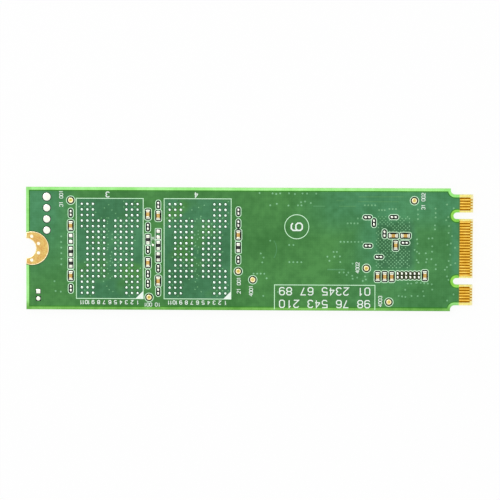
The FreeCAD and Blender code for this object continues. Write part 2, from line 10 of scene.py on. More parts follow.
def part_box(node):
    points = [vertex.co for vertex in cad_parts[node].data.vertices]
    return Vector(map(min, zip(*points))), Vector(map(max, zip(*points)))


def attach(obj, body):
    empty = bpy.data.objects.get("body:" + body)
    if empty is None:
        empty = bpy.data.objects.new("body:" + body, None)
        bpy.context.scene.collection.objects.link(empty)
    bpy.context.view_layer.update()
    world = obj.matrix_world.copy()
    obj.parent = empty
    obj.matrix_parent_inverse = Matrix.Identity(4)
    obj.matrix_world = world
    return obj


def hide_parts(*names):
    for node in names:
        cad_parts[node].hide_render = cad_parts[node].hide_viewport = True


# Looks of a gumstick solid state drive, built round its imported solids.
# Places and sizes are in millimetres. Heights count outwards from the card's face that carries them.

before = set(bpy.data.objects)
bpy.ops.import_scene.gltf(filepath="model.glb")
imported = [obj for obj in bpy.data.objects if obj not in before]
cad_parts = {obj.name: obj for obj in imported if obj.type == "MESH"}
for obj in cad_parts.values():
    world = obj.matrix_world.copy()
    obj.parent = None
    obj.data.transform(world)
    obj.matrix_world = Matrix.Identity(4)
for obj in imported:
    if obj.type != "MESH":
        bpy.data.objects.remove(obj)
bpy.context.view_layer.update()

MM = 0.001
UP = 1
DOWN = -1
WELD = 1e-4
SHARP_ANGLE = math.radians(35)
MITRE_LIMIT = 0.4
CORNER_ROOM = 1.05
DOME_RIM = 0.3


# Reading the frame

class Box:
    """Room that a solid takes up."""

    def __init__(self, low, high):
        self.low = Vector(low)
        self.high = Vector(high)
        self.middle = (self.low + self.high) / 2
        self.x, self.y, _ = self.middle
        self.radius = (self.high.x - self.low.x) / 2

    def plan(self, margin=0.0):
        """Lowest x and y and highest x and y, moved out by a margin."""
        return self.low.x - margin, self.low.y - margin, self.high.x + margin, self.high.y + margin

    def heights(self, side):
        """Nearest and farthest height from the face that carries the solid."""
        if side == UP:
            return self.low.z - TOP, self.high.z - TOP
        return UNDERSIDE - self.high.z, UNDERSIDE - self.low.z


def node_box(node):
    """Box of a whole node."""
    low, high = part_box(node)
    return Box(low / MM, high / MM)


def solids(node):
    """Boxes of the separate solids of a node, in the order of its mesh."""
    mesh = bmesh.new()
    mesh.from_mesh(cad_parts[node].data)
    bmesh.ops.remove_doubles(mesh, verts=mesh.verts, dist=WELD * MM)
    seen = set()
    boxes = []
    for first in mesh.verts:
        if first in seen:
            continue
        seen.add(first)
        island = [first]
        for vert in island:
            for edge in vert.link_edges:
                other = edge.other_vert(vert)
                if other not in seen:
                    seen.add(other)
                    island.append(other)
        places = [[v.co[i] / MM for v in island] for i in range(3)]
        boxes.append(Box([min(p) for p in places], [max(p) for p in places]))
    mesh.free()
    return boxes


def pairs(node):
    """Solids of a node two by two, as its pads and terminals come."""
    boxes = solids(node)
    return zip(boxes[::2], boxes[1::2])


BOARD = node_box("circuit_board")
TOP = BOARD.high.z
UNDERSIDE = BOARD.low.z
MOUNTING_END = BOARD.low.x
CARD_EDGE = BOARD.high.x
HALF_WIDTH = BOARD.high.y
PLATING = node_box("upper_edge_contacts").high.z - TOP
FLASH_LANDS = ("flash_lands_left", "flash_lands_right")
FLASH_PACKAGES = ("flash_package_left", "flash_package_right")

# Card outline
TONGUE_LENGTH = 4.0
SHOULDER_STEP = 1.075
SHOULDER_RADIUS = 0.8
KEY_WIDTH = 1.2
KEY_DEPTH = 3.5
KEY_CENTRES = (-5.625, 6.125)
NOTCH_RADIUS = 1.75
EDGE_BEVEL_LENGTH = 0.4
EDGE_BEVEL_DEPTH = 0.2
RIM_ROUND = 0.03
ARC_STEPS = 14
SHOULDER = CARD_EDGE - TONGUE_LENGTH
HALF_TONGUE = HALF_WIDTH - SHOULDER_STEP
BEVEL_START = CARD_EDGE - EDGE_BEVEL_LENGTH

# Layers of the card's faces
COPPER_PULLBACK = 0.5
COPPER_EDGE = 0.18
MASK_LAP = 0.02
UPPER_MASK_END = node_box("upper_edge_contacts").low.x + MASK_LAP
LOWER_MASK_END = node_box("lower_edge_contacts").low.x + MASK_LAP
# The painted shadow of the other face's contacts on the bare laminate reaches up to here
CONTACT_SHADOW_END = CARD_EDGE - 0.5
OPENING_HEIGHT = 0.004
BARE_HEIGHT = 0.4 * OPENING_HEIGHT
BRIDGE_HEIGHT = 0.8 * OPENING_HEIGHT
OPENING_MARGIN = 0.07
OPENING_CORNER = 1.5 * OPENING_MARGIN
LAND_MARGIN = 0.09
HEADER_MARGIN = 0.11
TEST_MARGIN = 0.2
PAD_MARGIN = 0.1
TRACK_HEIGHT = 0.016
VIA_HEIGHT = 0.022
INK_HEIGHT = 0.03
INK_STEP = 0.002
INK_LAYERS = 7

# Solder
LAND_DOME = 0.085
# Spread of the lands' radii and heights, as shares
LAND_RADII = (0.93, 1.01)
LAND_HEIGHTS = (0.8, 1.15)
PAD_DOME = 0.075
PAD_FILM = 0.95 * PLATING
HEADER_DOME = 0.045
JUMPER_DOME = 0.09
JUMPER_CROWN = (0.05, 0.05)
SOLDER_PULLBACK = 0.03
SOLDER_SPREAD = 0.03
TEST_PULLBACK = 0.04
JOINT_TOE = 0.2
JOINT_SIDE = 0.05
JOINT_FILM = 0.03


# Gathering faces into pieces

def circle(x, y, radius, height, sides):
    """Loop of points round a circle."""
    step = 2 * math.pi / sides
    return [(x + radius * math.cos(i * step), y + radius * math.sin(i * step), height) for i in range(sides)]


def arc(x, y, radius, start, end, steps=ARC_STEPS):
    """Points along an arc from one angle to another, in degrees, both ends included."""
    angles = [math.radians(start + (end - start) * i / steps) for i in range(steps + 1)]
    return [(x + radius * math.cos(a), y + radius * math.sin(a)) for a in angles]


def rectangle(x0, y0, x1, y1, corner, steps=4):
    """Points round a rectangle with round corners."""
    points = arc(x1 - corner, y1 - corner, corner, 0, 90, steps)
    points += arc(x0 + corner, y1 - corner, corner, 90, 180, steps)
    points += arc(x0 + corner, y0 + corner, corner, 180, 270, steps)
    return points + arc(x1 - corner, y0 + corner, corner, 270, 360, steps)


def corners_of(x0, y0, x1, y1):
    return [(x0, y0), (x1, y0), (x1, y1), (x0, y1)]


def at_height(points, height):
    """Loop of flat points lifted to a height."""
    return [(x, y, height) for x, y in points]


def sized(profile, radius, height):
    """Profile given in shares of a radius and a height, at its real size."""
    return [(radius * r, height * h) for r, h in profile]


def crowned(base, rise):
    """Surface of a mound that rises from its sides to a nearly flat middle."""
    return lambda u, v: base + rise * (1 - u ** 4) * (1 - v ** 4)


def add_to_scene(name, data):
    """Object in the scene with the given data."""
    thing = bpy.data.objects.new(name, data)
    bpy.context.scene.collection.objects.link(thing)
    return thing


class Shape:
    """Painted faces that become one piece. Heights count outwards from one face of the card."""

    def __init__(self, side=UP, level=None):
        self.side = side
        self.level = level
        if level is None:
            self.level = TOP if side == UP else UNDERSIDE
        self.points = []
        self.faces = []
        self.paints = []

    def add(self, points, faces, paint):
        start = len(self.points)
        self.points += [(x, y, self.level + self.side * h) for x, y, h in points]
        self.faces += [[start + i for i in face] for face in faces]
        self.paints += [paint] * len(faces)

    def loft(self, loops, paint, ring=False):
        """Skin through loops of equal count, capped at both ends or closed into a ring."""
        count = len(loops[0])
        faces = []
        for i in range(len(loops) if ring else len(loops) - 1):
            a = i * count
            b = (i + 1) % len(loops) * count
            for j in range(count):
                k = (j + 1) % count
                faces.append((a + j, a + k, b + k, b + j))
        if not ring:
            last = (len(loops) - 1) * count
            faces += [tuple(range(count)), tuple(range(last, last + count))]
        self.add([p for loop in loops for p in loop], faces, paint)

    def block(self, x0, y0, x1, y1, h0, h1, edge, paint, corner=0.0, steps=3):
        """Slab between two heights whose edges and upright corners are rounded."""
        corner = max(edge * CORNER_ROOM, corner)
        quarter = [i / steps * math.pi / 2 for i in range(steps + 1)]
        levels = [(h0 + edge * (1 - math.sin(a)), edge * (1 - math.cos(a))) for a in reversed(quarter)]
        levels += [(h1 - edge * (1 - math.sin(a)), edge * (1 - math.cos(a))) for a in quarter]
        loops = []
        for height, inset in levels:
            plan = rectangle(x0 + inset, y0 + inset, x1 - inset, y1 - inset, corner - inset)
            loops.append(at_height(plan, height))
        self.loft(loops, paint)

    def plate(self, plan, h0, h1, paint):
        """Flat plate of any plan."""
        self.loft([at_height(plan, h0), at_height(plan, h1)], paint)

    def turned(self, x, y, profile, paint, sides, ring=False):
        """Round form from a profile of (radius, height)."""
        self.loft([circle(x, y, r, h, sides) for r, h in profile], paint, ring)

    def disc(self, x, y, radius, h0, h1, paint, sides):
        """Flat round plate."""
        self.turned(x, y, [(radius, h0), (radius, h1)], paint, sides)

    def dome(self, x, y, radius, height, paint, sides=14, steps=4):
        """Low round cap of solder."""
        angles = [i / steps * math.pi / 2 for i in range(steps)]
        cap = [(radius * math.cos(a), height * (DOME_RIM + (1 - DOME_RIM) * math.sin(a))) for a in angles]
        self.turned(x, y, [(radius, 0)] + cap, paint, sides)

    def band(self, x, y, radius, width, height, paint, sides=40):
        """Flat ring along a circle."""
        inner = radius - width / 2
        outer = radius + width / 2
        profile = [(outer, 0), (outer, height), (inner, height), (inner, 0)]
        self.turned(x, y, profile, paint, sides, ring=True)

    def ribbon(self, path, width, height, paint, closed=False):
        """Line of even width along a path of flat points."""
        path = [Vector(p) for p in path]
        count = len(path)
        loops = []
        for i, point in enumerate(path):
            before = path[i - 1] if closed or i > 0 else None
            after = path[(i + 1) % count] if closed or i < count - 1 else None
            ways = [(b - a).normalized() for a, b in ((before, point), (point, after)) if a and b]
            normals = [Vector((-w.y, w.x)) for w in ways]
            mitre = sum(normals, Vector((0, 0))).normalized()
            reach = mitre * (width / 2 / max(MITRE_LIMIT, mitre.dot(normals[0])))
            left = point + reach
            right = point - reach
            loops.append([(*left, 0), (*left, height), (*right, height), (*right, 0)])
        self.loft(loops, paint, ring=closed)

    def mound(self, x0, y0, x1, y1, surface, paint, cells=6, corner=0.3):
        """Solder over a rectangle; surface gives its height for u and v from -1 to 1."""
        steps = [2 * i / cells - 1 for i in range(cells + 1)]
        points = []
        for v in steps:
            for u in steps:
                x = (x0 + x1) / 2 + (x1 - x0) / 2 * u * math.sqrt(1 - corner * v * v / 2)
                y = (y0 + y1) / 2 + (y1 - y0) / 2 * v * math.sqrt(1 - corner * u * u / 2)
                points.append((x, y, surface(u, v)))
        row = cells + 1
        firsts = [j * row + i for j in range(cells) for i in range(cells)]
        faces = [(a, a + 1, a + row + 1, a + row) for a in firsts]
        rim = list(range(row)) + [j * row + cells for j in range(1, row)]
        rim += [cells * row + i for i in reversed(range(cells))]
        rim += [j * row for j in reversed(range(1, cells))]
        base = len(points)
        points += [(points[i][0], points[i][1], 0) for i in rim]
        for i, here in enumerate(rim):
            k = (i + 1) % len(rim)
            faces.append((here, rim[k], base + k, base + i))
        faces.append(tuple(range(base, base + len(rim))))
        self.add(points, faces, paint)

    def piece(self, name, slot, *nodes, weld=False):
        """The piece itself, riding on the card and standing for the given nodes."""
        mesh = bpy.data.meshes.new(name)
        work = bmesh.new()
        verts = [work.verts.new(Vector(p) * MM) for p in self.points]
        paints = list(dict.fromkeys(self.paints))
        for corners, paint in zip(self.faces, self.paints):
            face = work.faces.new([verts[i] for i in corners])
            face.material_index = paints.index(paint)
        if weld:
            bmesh.ops.remove_doubles(work, verts=work.verts, dist=WELD * MM)
        bmesh.ops.recalc_face_normals(work, faces=work.faces)
        work.to_mesh(mesh)
        work.free()
        for paint in paints:
            mesh.materials.append(bpy.data.materials[paint])
        mesh.shade_smooth()
        mesh.set_sharp_from_angle(angle=SHARP_ANGLE)
        piece = add_to_scene(name, mesh)
        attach(piece, "root")
        if nodes:
            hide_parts(*nodes)


# Materials. Colours are display levels of 0 to 255, as dark, middle and light tones.

OLIVE = ((52, 117, 50), (64, 129, 61), (76, 143, 71))
TEAL = ((58, 126, 76), (70, 140, 92), (82, 154, 106))
FIELD = ((50, 112, 69), (62, 126, 83), (74, 140, 95))
DEEP = ((44, 99, 57), (54, 111, 69), (64, 123, 80))
# Lime tones of the mask where no copper lies under it; the high tones are painted light on the rims away from
# the -Y side
LOW_LIME = ((94, 164, 60), (112, 182, 76), (130, 200, 96))
LIT_LIME = ((150, 236, 122), (168, 248, 144), (186, 255, 166))
TONE_SPREAD = 0.14
CLOTH_PITCH = 0.42
# Radians that the wave texture turns through over one unit at scale 1
WAVE_TURN = 20
EVEN = (1, 1, 1)


def linear(level):
    """Linear value of a display level."""
    v = level / 255
    return v / 12.92 if v <= 0.04045 else ((v + 0.055) / 1.055) ** 2.4


class Tree:
    """Shader nodes of a material or of the world."""

    def __init__(self, owner):
        owner.use_nodes = True
        self.nodes = owner.node_tree.nodes
        self.links = owner.node_tree.links

    def node(self, kind, values=None, **settings):
        """New node with its settings, and with a number, a colour or a link on each named input."""
        node = self.nodes.new("ShaderNode" + kind)
        for name, setting in settings.items():
            setattr(node, name, setting)
        for name, value in (values or {}).items():
            if isinstance(value, bpy.types.NodeSocket):
                self.links.new(value, node.inputs[name])
            else:
                node.inputs[name].default_value = value
        return node

    def math(self, operation, a, b):
        return self.node("Math", {0: a, 1: b}, operation=operation).outputs[0]

    def mixed(self, share, first, second):
        """Shader that passes from the first to the second."""
        return self.node("MixShader", {0: share, 1: first.outputs[0], 2: second.outputs[0]})

    def seen_rays(self):
        """1 for the rays that see the background: straight from the camera, mirrored or passed through."""
        rays = self.node("LightPath").outputs
        seen = self.math("MAXIMUM", rays["Is Camera Ray"], rays["Is Glossy Ray"])
        return self.math("MAXIMUM", seen, rays["Is Transmission Ray"])


class Finish(Tree):
    """Node material that reads its place on the part in millimetres."""

    def __init__(self, name, metallic=0.0, specular=0.5):
        super().__init__(bpy.data.materials.new(name))
        self.shader = self.nodes["Principled BSDF"].inputs
        self.shader["Metallic"].default_value = metallic
        self.shader["Specular IOR Level"].default_value = specular
        self.place = self.scaled(self.node("TexCoord").outputs["Object"], (1 / MM, 1 / MM, 1 / MM))

    def scaled(self, vector, factors):
        return self.node("VectorMath", {0: vector, 1: factors}, operation="MULTIPLY").outputs["Vector"]

    def noise(self, size, detail=2.0, stretch=EVEN):
        """Noise with features of about a size, drawn out along an axis by a small stretch factor."""
        place = self.scaled(self.place, stretch)
        return self.node("TexNoise", {"Scale": 1 / size, "Detail": detail, "Vector": place}).outputs["Fac"]

    def weave(self, pitch):
        """Crossed bands of a woven glass cloth."""
        values = {"Scale": 2 * math.pi / WAVE_TURN / pitch, "Distortion": 1.0, "Vector": self.place}
        bands = [self.node("TexWave", values, bands_direction=way).outputs["Fac"] for way in ("X", "Y")]
        return self.math("MULTIPLY", *bands)

    def blend(self, a, b, share):
        """Weighted mean of two numbers."""
        return self.math("ADD", self.math("MULTIPLY", a, 1 - share), self.math("MULTIPLY", b, share))

    def tones(self, pattern, *colors):
        """Colour from a pattern that varies about one half."""
        ramp = self.node("ValToRGB", {"Fac": pattern})
        stops = ramp.color_ramp.elements
        stops.new(0.5)
        for stop, at, color in zip(stops, (0.5 - TONE_SPREAD, 0.5, 0.5 + TONE_SPREAD), colors):
            stop.position = at
            stop.color = (*map(linear, color), 1.0)
        return ramp.outputs["Color"]

    def slope(self, axis, start, end):
        """Number that rises smoothly from 0 to 1 between two places along an axis."""
        place = self.node("SeparateXYZ", {0: self.place}).outputs[axis]
        values = {"From Min": start, "From Max": end, "Value": place}
        return self.node("MapRange", values, interpolation_type="SMOOTHSTEP").outputs["Result"]

    def area(self, *sides):
        """Number that is 1 in an area with soft sides, each given as (axis, outside, inside)."""
        value = 1.0
        for side in sides:
            value = self.math("MULTIPLY", self.slope(*side), value)
        return value

    def drift(self, first, second, share):
        """Colour that passes from one to another."""
        values = {"Factor": share, "A": first, "B": second}
        return self.node("Mix", values, data_type="RGBA").outputs["Result"]

    def paint(self, color):
        self.links.new(color, self.shader["Base Color"])

    def gloss(self, pattern, low, high):
        """Roughness between two values."""
        values = {"From Min": 0.3, "From Max": 0.7, "To Min": low, "To Max": high, "Value": pattern}
        self.links.new(self.node("MapRange", values).outputs["Result"], self.shader["Roughness"])

    def relief(self, pattern, depth):
        """Fine relief of a depth in millimetres."""
        bump = self.node("Bump", {"Distance": depth * MM, "Strength": 0.6, "Height": pattern})
        self.links.new(bump.outputs["Normal"], self.shader["Normal"])


def mask_finish(name, tones, *drifts):
    """Solder mask: cloudy, satin, with the laminate's cloth under it, drifting to other tones by shares."""
    finish = Finish(name, specular=0.25)
    cloud = finish.blend(finish.noise(9.0), finish.noise(1.1, 4.0), 0.45)
    cloud = finish.blend(cloud, finish.weave(CLOTH_PITCH), 0.05)
    color = finish.tones(cloud, *tones)
    for other_tones, share in drifts:
        color = finish.drift(color, finish.tones(cloud, *other_tones), share(finish))
    finish.paint(color)
    finish.gloss(finish.noise(0.5, 3.0), 0.34, 0.5)
    finish.relief(finish.blend(finish.noise(0.12, 3.0), finish.weave(CLOTH_PITCH), 0.5), 0.004)


def teal_share(finish):
    """Mask turns teal by the mounting end, towards the connector, at its contacts and over the vias."""
    teal = finish.area(("X", -30.0, -37.0), ("Y", -9.0, 7.0))
    connector = finish.area(("X", 6.0, 21.0), ("Y", 1.0, 7.5))
    vias = finish.area(("X", 17.0, 22.0), ("X", 31.0, 28.5), ("Y", -11.0, 1.0))
    contacts = finish.area(("X", 35.0, 37.0), ("Y", -7.0, -3.0))
    rest = finish.math("MULTIPLY", finish.area(("X", 14.0, 20.0)), 0.25)
    for part in (connector, vias, contacts, rest):
        teal = finish.math("MAXIMUM", teal, part)
    bands = finish.math("ADD", finish.noise(4.5, 1.0, (1, 0.2, 1)), 0.55)
    return finish.math("MULTIPLY", teal, bands)


def deep_share(finish):
    """Mask is darker between the controller's vias."""
    return finish.area(("X", 22.2, 23.8), ("X", 30.0, 28.5), ("Y", -4.5, -2.5), ("Y", 6.0, 4.0))


def patch_share(finish):
    """Patches where a copper area shows through the mask."""
    return finish.math("MULTIPLY", finish.math("SUBTRACT", finish.noise(4.5, 1.0), 0.5), 5.0)


def rim_light_share(finish):
    """Painted light: the rim without copper is painted paler away from the -Y side, a little less so at the
    mounting end.
    """
    end = finish.blend(1.0, finish.slope("X", -39.4, -38.8), 0.2)
    return finish.math("MULTIPLY", finish.slope("Y", -10.8, -8.8), end)


def laminate_finish(name, *tones, specular=0.4):
    """Bare glass laminate: pale resin with the cloth showing through."""
    finish = Finish(name, specular=specular)
    cloth = finish.blend(finish.noise(0.5, 4.0), finish.weave(0.3), 0.3)
    finish.paint(finish.tones(cloth, *tones))
    finish.gloss(finish.noise(0.2, 3.0), 0.45, 0.65)
    finish.relief(cloth, 0.006)


def routed_finish(name, *tones):
    """Routed edge of the card: layers of cloth in line with its faces."""
    finish = Finish(name, specular=0.3)
    layers = finish.blend(finish.noise(0.9, 3.0, (1, 1, 9)), finish.noise(0.12, 2.0), 0.35)
    finish.paint(finish.tones(layers, *tones))
    finish.gloss(finish.noise(0.15), 0.6, 0.8)
    finish.relief(layers, 0.012)


def metal_finish(name, rough, *tones, grain=0.25, drawn=EVEN):
    """Plated or soldered metal with faint clouding and fine grain."""
    finish = Finish(name, metallic=1.0)
    cloud = finish.blend(finish.noise(grain * 4, 2.0), finish.noise(grain, 3.0, drawn), 0.5)
    finish.paint(finish.tones(cloud, *tones))
    finish.gloss(finish.noise(grain, 3.0, drawn), *rough)
    finish.relief(finish.noise(grain * 0.5, 2.0, drawn), 0.004)


def grained_finish(name, rough, grain, relief, *tones, specular=0.5):
    """Moulded, fired or printed surface with speckle and a fine grain."""
    finish = Finish(name, specular=specular)
    speckle = finish.blend(finish.noise(grain * 8, 2.0), finish.noise(grain, 4.0), 0.6)
    finish.paint(finish.tones(speckle, *tones))
    finish.gloss(finish.noise(grain * 2, 3.0), *rough)
    finish.relief(finish.noise(grain, 3.0), relief)


def make_materials():
    """All materials of the part, by name."""
    mask_finish("mask_green", OLIVE, (TEAL, teal_share), (DEEP, deep_share))
    mask_finish("mask_teal", FIELD, (OLIVE, patch_share))
    # The mask where no copper lies under it is lime: partly its own paler colour, partly painted light
    # shining up through the laminate, also round the key slots
    mask_finish("mask_lime", LOW_LIME, (LIT_LIME, rim_light_share))
    mask_finish("mask_key", ((124, 202, 62), (146, 222, 80), (168, 240, 104)))
    mask_finish("mask_edge", ((38, 118, 16), (48, 129, 24), (60, 142, 34)))
    mask_finish("mask_rim", ((84, 112, 54), (100, 130, 66), (116, 146, 80)))
    mask_finish("mask_track", ((70, 136, 78), (82, 148, 92), (96, 162, 106)))
    mask_finish("mask_via", ((104, 166, 112), (122, 182, 132), (142, 200, 152)))
    mask_finish("mask_opening", ((10, 30, 16), (18, 42, 24), (28, 54, 34)))
    mask_finish("mask_bare", ((4, 14, 8), (10, 24, 14), (18, 34, 22)))
    mask_finish("brown_opening", ((28, 38, 8), (42, 52, 12), (58, 68, 18)))
    laminate_finish("laminate_bare", (248, 230, 118), (255, 242, 142), (255, 252, 176))
    # Painted light: the bevelled card edge is painted paler, as light glowing through its thin laminate
    laminate_finish("laminate_bevel_glow", (252, 240, 168), (255, 248, 194), (255, 255, 220))
    # Painted shadow: dark amber where the other face's contacts lie behind the bare laminate, as their shadow
    # through it in light from below
    laminate_finish("laminate_contact_shadow", (150, 92, 0), (172, 110, 2), (192, 128, 8), specular=0.0)
    routed_finish("laminate_edge", (150, 186, 112), (190, 222, 146), (224, 244, 182))
    finger = {"grain": 0.3, "drawn": (0.15, 1, 1)}
    metal_finish("gold_pad", (0.24, 0.4), (214, 164, 94), (218, 180, 102), (226, 199, 120))
    # Pale gold painted as a highlight on the raised rims of the pads
    metal_finish("gold_rim_highlight", (0.2, 0.32), (246, 226, 166), (254, 240, 190), (255, 248, 212))
    # Darker gold painted as shade along the contacts' sides
    metal_finish("gold_shaded_flank", (0.3, 0.45), (170, 112, 8), (190, 132, 16), (210, 152, 30), **finger)
    metal_finish("gold_contact", (0.18, 0.32), (240, 184, 66), (252, 204, 84), (255, 222, 112), **finger)
    metal_finish("gold_test", (0.22, 0.36), (196, 172, 72), (212, 190, 92), (228, 208, 122))
    metal_finish("worn_copper", (0.35, 0.5), (176, 120, 22), (198, 144, 36), (218, 166, 58))
    metal_finish("solder", (0.16, 0.32), (240, 246, 226), (250, 254, 238), (255, 255, 248), grain=0.12)
    metal_finish("land_tin", (0.16, 0.32), (216, 246, 224), (228, 252, 234), (240, 255, 244), grain=0.12)
    metal_finish("tin_terminal", (0.26, 0.42), (236, 230, 206), (248, 242, 222), (255, 252, 238), grain=0.1)
    metal_finish("nickel", (0.24, 0.4), (168, 164, 154), (196, 192, 182), (214, 211, 203),
                 grain=0.3, drawn=(0.08, 1, 1))
    ink = ((0.5, 0.7), 0.1, 0.004)
    grained_finish("ink_white", *ink, (226, 242, 230), (240, 252, 242), (250, 255, 251), specular=0.3)
    grained_finish("ink_line", *ink, (194, 246, 200), (212, 255, 216), (226, 255, 230), specular=0.3)
    grained_finish("ceramic_tan", (0.36, 0.52), 0.07, 0.006, (180, 138, 54), (210, 168, 78), (236, 204, 122))
    grained_finish("glaze_black", (0.14, 0.3), 0.1, 0.004, (14, 14, 16), (24, 24, 26), (38, 38, 40))
    grained_finish("alumina", (0.5, 0.7), 0.06, 0.006, (206, 202, 190), (224, 221, 210), (238, 236, 228))
    grained_finish("mould_black", (0.46, 0.66), 0.08, 0.01, (20, 20, 22), (30, 30, 32), (42, 42, 44))
    grained_finish("substrate_green", (0.4, 0.6), 0.2, 0.004, (24, 66, 44), (34, 84, 56), (46, 100, 68))
    grained_finish("laser_mark", (0.6, 0.8), 0.05, 0.006, (116, 116, 112), (138, 138, 134), (158, 158, 152))
    grained_finish("inductor_grey", (0.5, 0.7), 0.09, 0.014, (62, 62, 64), (84, 84, 86), (112, 112, 112))
    grained_finish("ceramic_dark", (0.5, 0.65), 0.07, 0.006, (44, 38, 34), (58, 50, 45), (72, 63, 56))


# The card

def outline(inset, front):
    """Outline of the card, drawn in by an inset, with its card edge at the given place."""
    side = HALF_WIDTH - inset
    tongue = HALF_TONGUE - inset
    curve = SHOULDER_RADIUS + inset
    turn = (SHOULDER + SHOULDER_RADIUS, HALF_TONGUE + SHOULDER_RADIUS)
    stops = [min(x, front) for x in (UPPER_MASK_END, LOWER_MASK_END, front)]
    points = [(MOUNTING_END + inset, -side), (SHOULDER - inset, -side)]
    points += arc(turn[0], -turn[1], curve, 180, 90)
    points += [(x, -tongue) for x in stops]
    half = KEY_WIDTH / 2 + inset
    straight = CARD_EDGE - KEY_DEPTH + KEY_WIDTH / 2
    for key in KEY_CENTRES:
        points += [(x, key - half) for x in reversed(stops)]
        points += arc(straight, key, half, -90, -270)
        points += [(x, key + half) for x in stops]
    points += [(x, tongue) for x in reversed(stops)]
    points += arc(turn[0], turn[1], curve, 270, 180)
    points += [(SHOULDER - inset, side), (MOUNTING_END + inset, side)]
    notch = NOTCH_RADIUS + inset
    opening = math.degrees(math.acos(inset / notch))
    return points + arc(MOUNTING_END, 0, notch, opening, -opening, 2 * ARC_STEPS)


def inside(loop, x, y):
    """Whether a point lies inside a closed loop of flat points."""
    crossings = 0
    for (ax, ay), (bx, by) in zip(loop, loop[1:] + loop[:1]):
        if (ay > y) != (by > y) and x < ax + (y - ay) / (by - ay) * (bx - ax):
            crossings += 1
    return crossings % 2 == 1


def contact_groups(node):
    """Spans across the card of the contacts between the keys."""
    spans = {}
    for box in solids(node):
        group = sum(box.low.y > key for key in KEY_CENTRES)
        low, high = spans.get(group, (box.low.y, box.high.y))
        spans[group] = (min(low, box.low.y), max(high, box.high.y))
    return list(spans.values())


def card_face(shape, z, mask_end, opposite_contacts):
    """One face of the card, divided where its layers change."""
    rim = outline(RIM_ROUND, BEVEL_START)
    covered = outline(COPPER_PULLBACK, mask_end)
    core = outline(COPPER_PULLBACK + COPPER_EDGE, mask_end)
    # Painted shadow: the bare laminate over the other face's contacts is painted dark amber
    contact_shadows = [corners_of(mask_end, y0, CONTACT_SHADOW_END, y1) for y0, y1 in contact_groups(opposite_contacts)]
    fields = [corners_of(*node_box(node).plan()) for node in FLASH_PACKAGES]
    points = [Vector((mask_end, -HALF_WIDTH)), Vector((mask_end, HALF_WIDTH))]
    edges = [(0, 1)]
    for loop in [rim, covered, core] + contact_shadows + fields:
        start = len(points)
        points += [Vector(p) for p in loop]
        edges += [(start + i, start + (i + 1) % len(loop)) for i in range(len(loop))]
    verts, _, faces = delaunay_2d_cdt(points, edges, [], 0, WELD)[:3]
    zones = {}
    for face in faces:
        x, y = sum((verts[i] for i in face), Vector((0, 0))) / len(face)
        if not inside(rim, x, y):
            continue
        if x > mask_end:
            paint = "laminate_contact_shadow" if any(inside(loop, x, y) for loop in contact_shadows) else "laminate_bare"
        elif not inside(covered, x, y):
            # Partly painted light: the mask without copper under it is painted lime, as lit from below
            # through the laminate
            at_key = x > SHOULDER and abs(y) < HALF_TONGUE - 2 * COPPER_PULLBACK
            paint = "mask_key" if at_key else "mask_lime"
        elif not inside(core, x, y):
            paint = "mask_edge"
        else:
            paint = "mask_teal" if any(inside(loop, x, y) for loop in fields) else "mask_green"
        zones.setdefault(paint, []).append(face)
    for paint, zone in zones.items():
        shape.add([(v.x, v.y, z) for v in verts], zone, paint)


def wall_paint(band, x):
    """Paint of the card's edge: bands 0 and 4 are broken rims, 1 and 3 bevels, 2 the routed wall."""
    mask_end = UPPER_MASK_END if band < 2 else LOWER_MASK_END
    if x > mask_end and band != 2:
        # The bevel is painted paler, as light glowing through it
        return "laminate_bevel_glow" if x > BEVEL_START else "laminate_bare"
    # The broken rims take the lime mask, partly painted light
    return "mask_lime" if band in (0, 4) else "laminate_edge"


def board():
    """The card itself: both faces, routed edge, bevelled card edge and a broken rim."""
    shape = Shape(level=0.0)
    rim_front = BEVEL_START + RIM_ROUND * EDGE_BEVEL_LENGTH / EDGE_BEVEL_DEPTH
    levels = [(TOP, RIM_ROUND, BEVEL_START), (TOP - RIM_ROUND, 0, rim_front),
              (TOP - EDGE_BEVEL_DEPTH, 0, CARD_EDGE), (UNDERSIDE + EDGE_BEVEL_DEPTH, 0, CARD_EDGE),
              (UNDERSIDE + RIM_ROUND, 0, rim_front), (UNDERSIDE, RIM_ROUND, BEVEL_START)]
    loops = [at_height(outline(inset, front), z) for z, inset, front in levels]
    for band, (upper, lower) in enumerate(zip(loops, loops[1:])):
        for j in range(len(upper)):
            k = (j + 1) % len(upper)
            corners = [upper[j], upper[k], lower[k], lower[j]]
            shape.add(corners, [(0, 1, 2, 3)], wall_paint(band, (upper[j][0] + upper[k][0]) / 2))
    card_face(shape, TOP, UPPER_MASK_END, "lower_edge_contacts")
    card_face(shape, UNDERSIDE, LOWER_MASK_END, "upper_edge_contacts")
    shape.piece("board", "board_mask", "circuit_board", weld=True)


# Gold on the card

LINK_WIDTH = 0.24
LINK_END = CARD_EDGE - 0.1
LINK_HEIGHT = 0.025
LINK_LAP = 0.03
FLANK_WIDTH = 0.065
FLANK_HEIGHT = 0.7 * PLATING
FLANK_EDGE = 0.01
CONTACT_SEAT = 0.2 * PLATING
CONTACT_EDGE = 0.008
CONTACT_CORNER = 0.05
ROOT_LAP = 0.08
PAD_RIM = 0.12
PAD_LEVEL = 0.9
# Rim of the earthing pad: (inset, height as a share of the plating)
PAD_RIM_PROFILE = ((0, 0), (0, 0.7), (0.02, 1.0), (0.1, 1.0), (PAD_RIM, PAD_LEVEL), (PAD_RIM, 0))
PAD_VIA_RING = 2.36
PAD_VIA_ANGLES = (-65, -21, 21, 65)
PAD_VIA_RADIUS = 0.3
# Filled via: (share of the radius, lift above the plating)
PAD_VIA_PROFILE = ((1.0, -0.01), (0.95, 0.012), (0.7, 0.02), (0.35, 0.012))
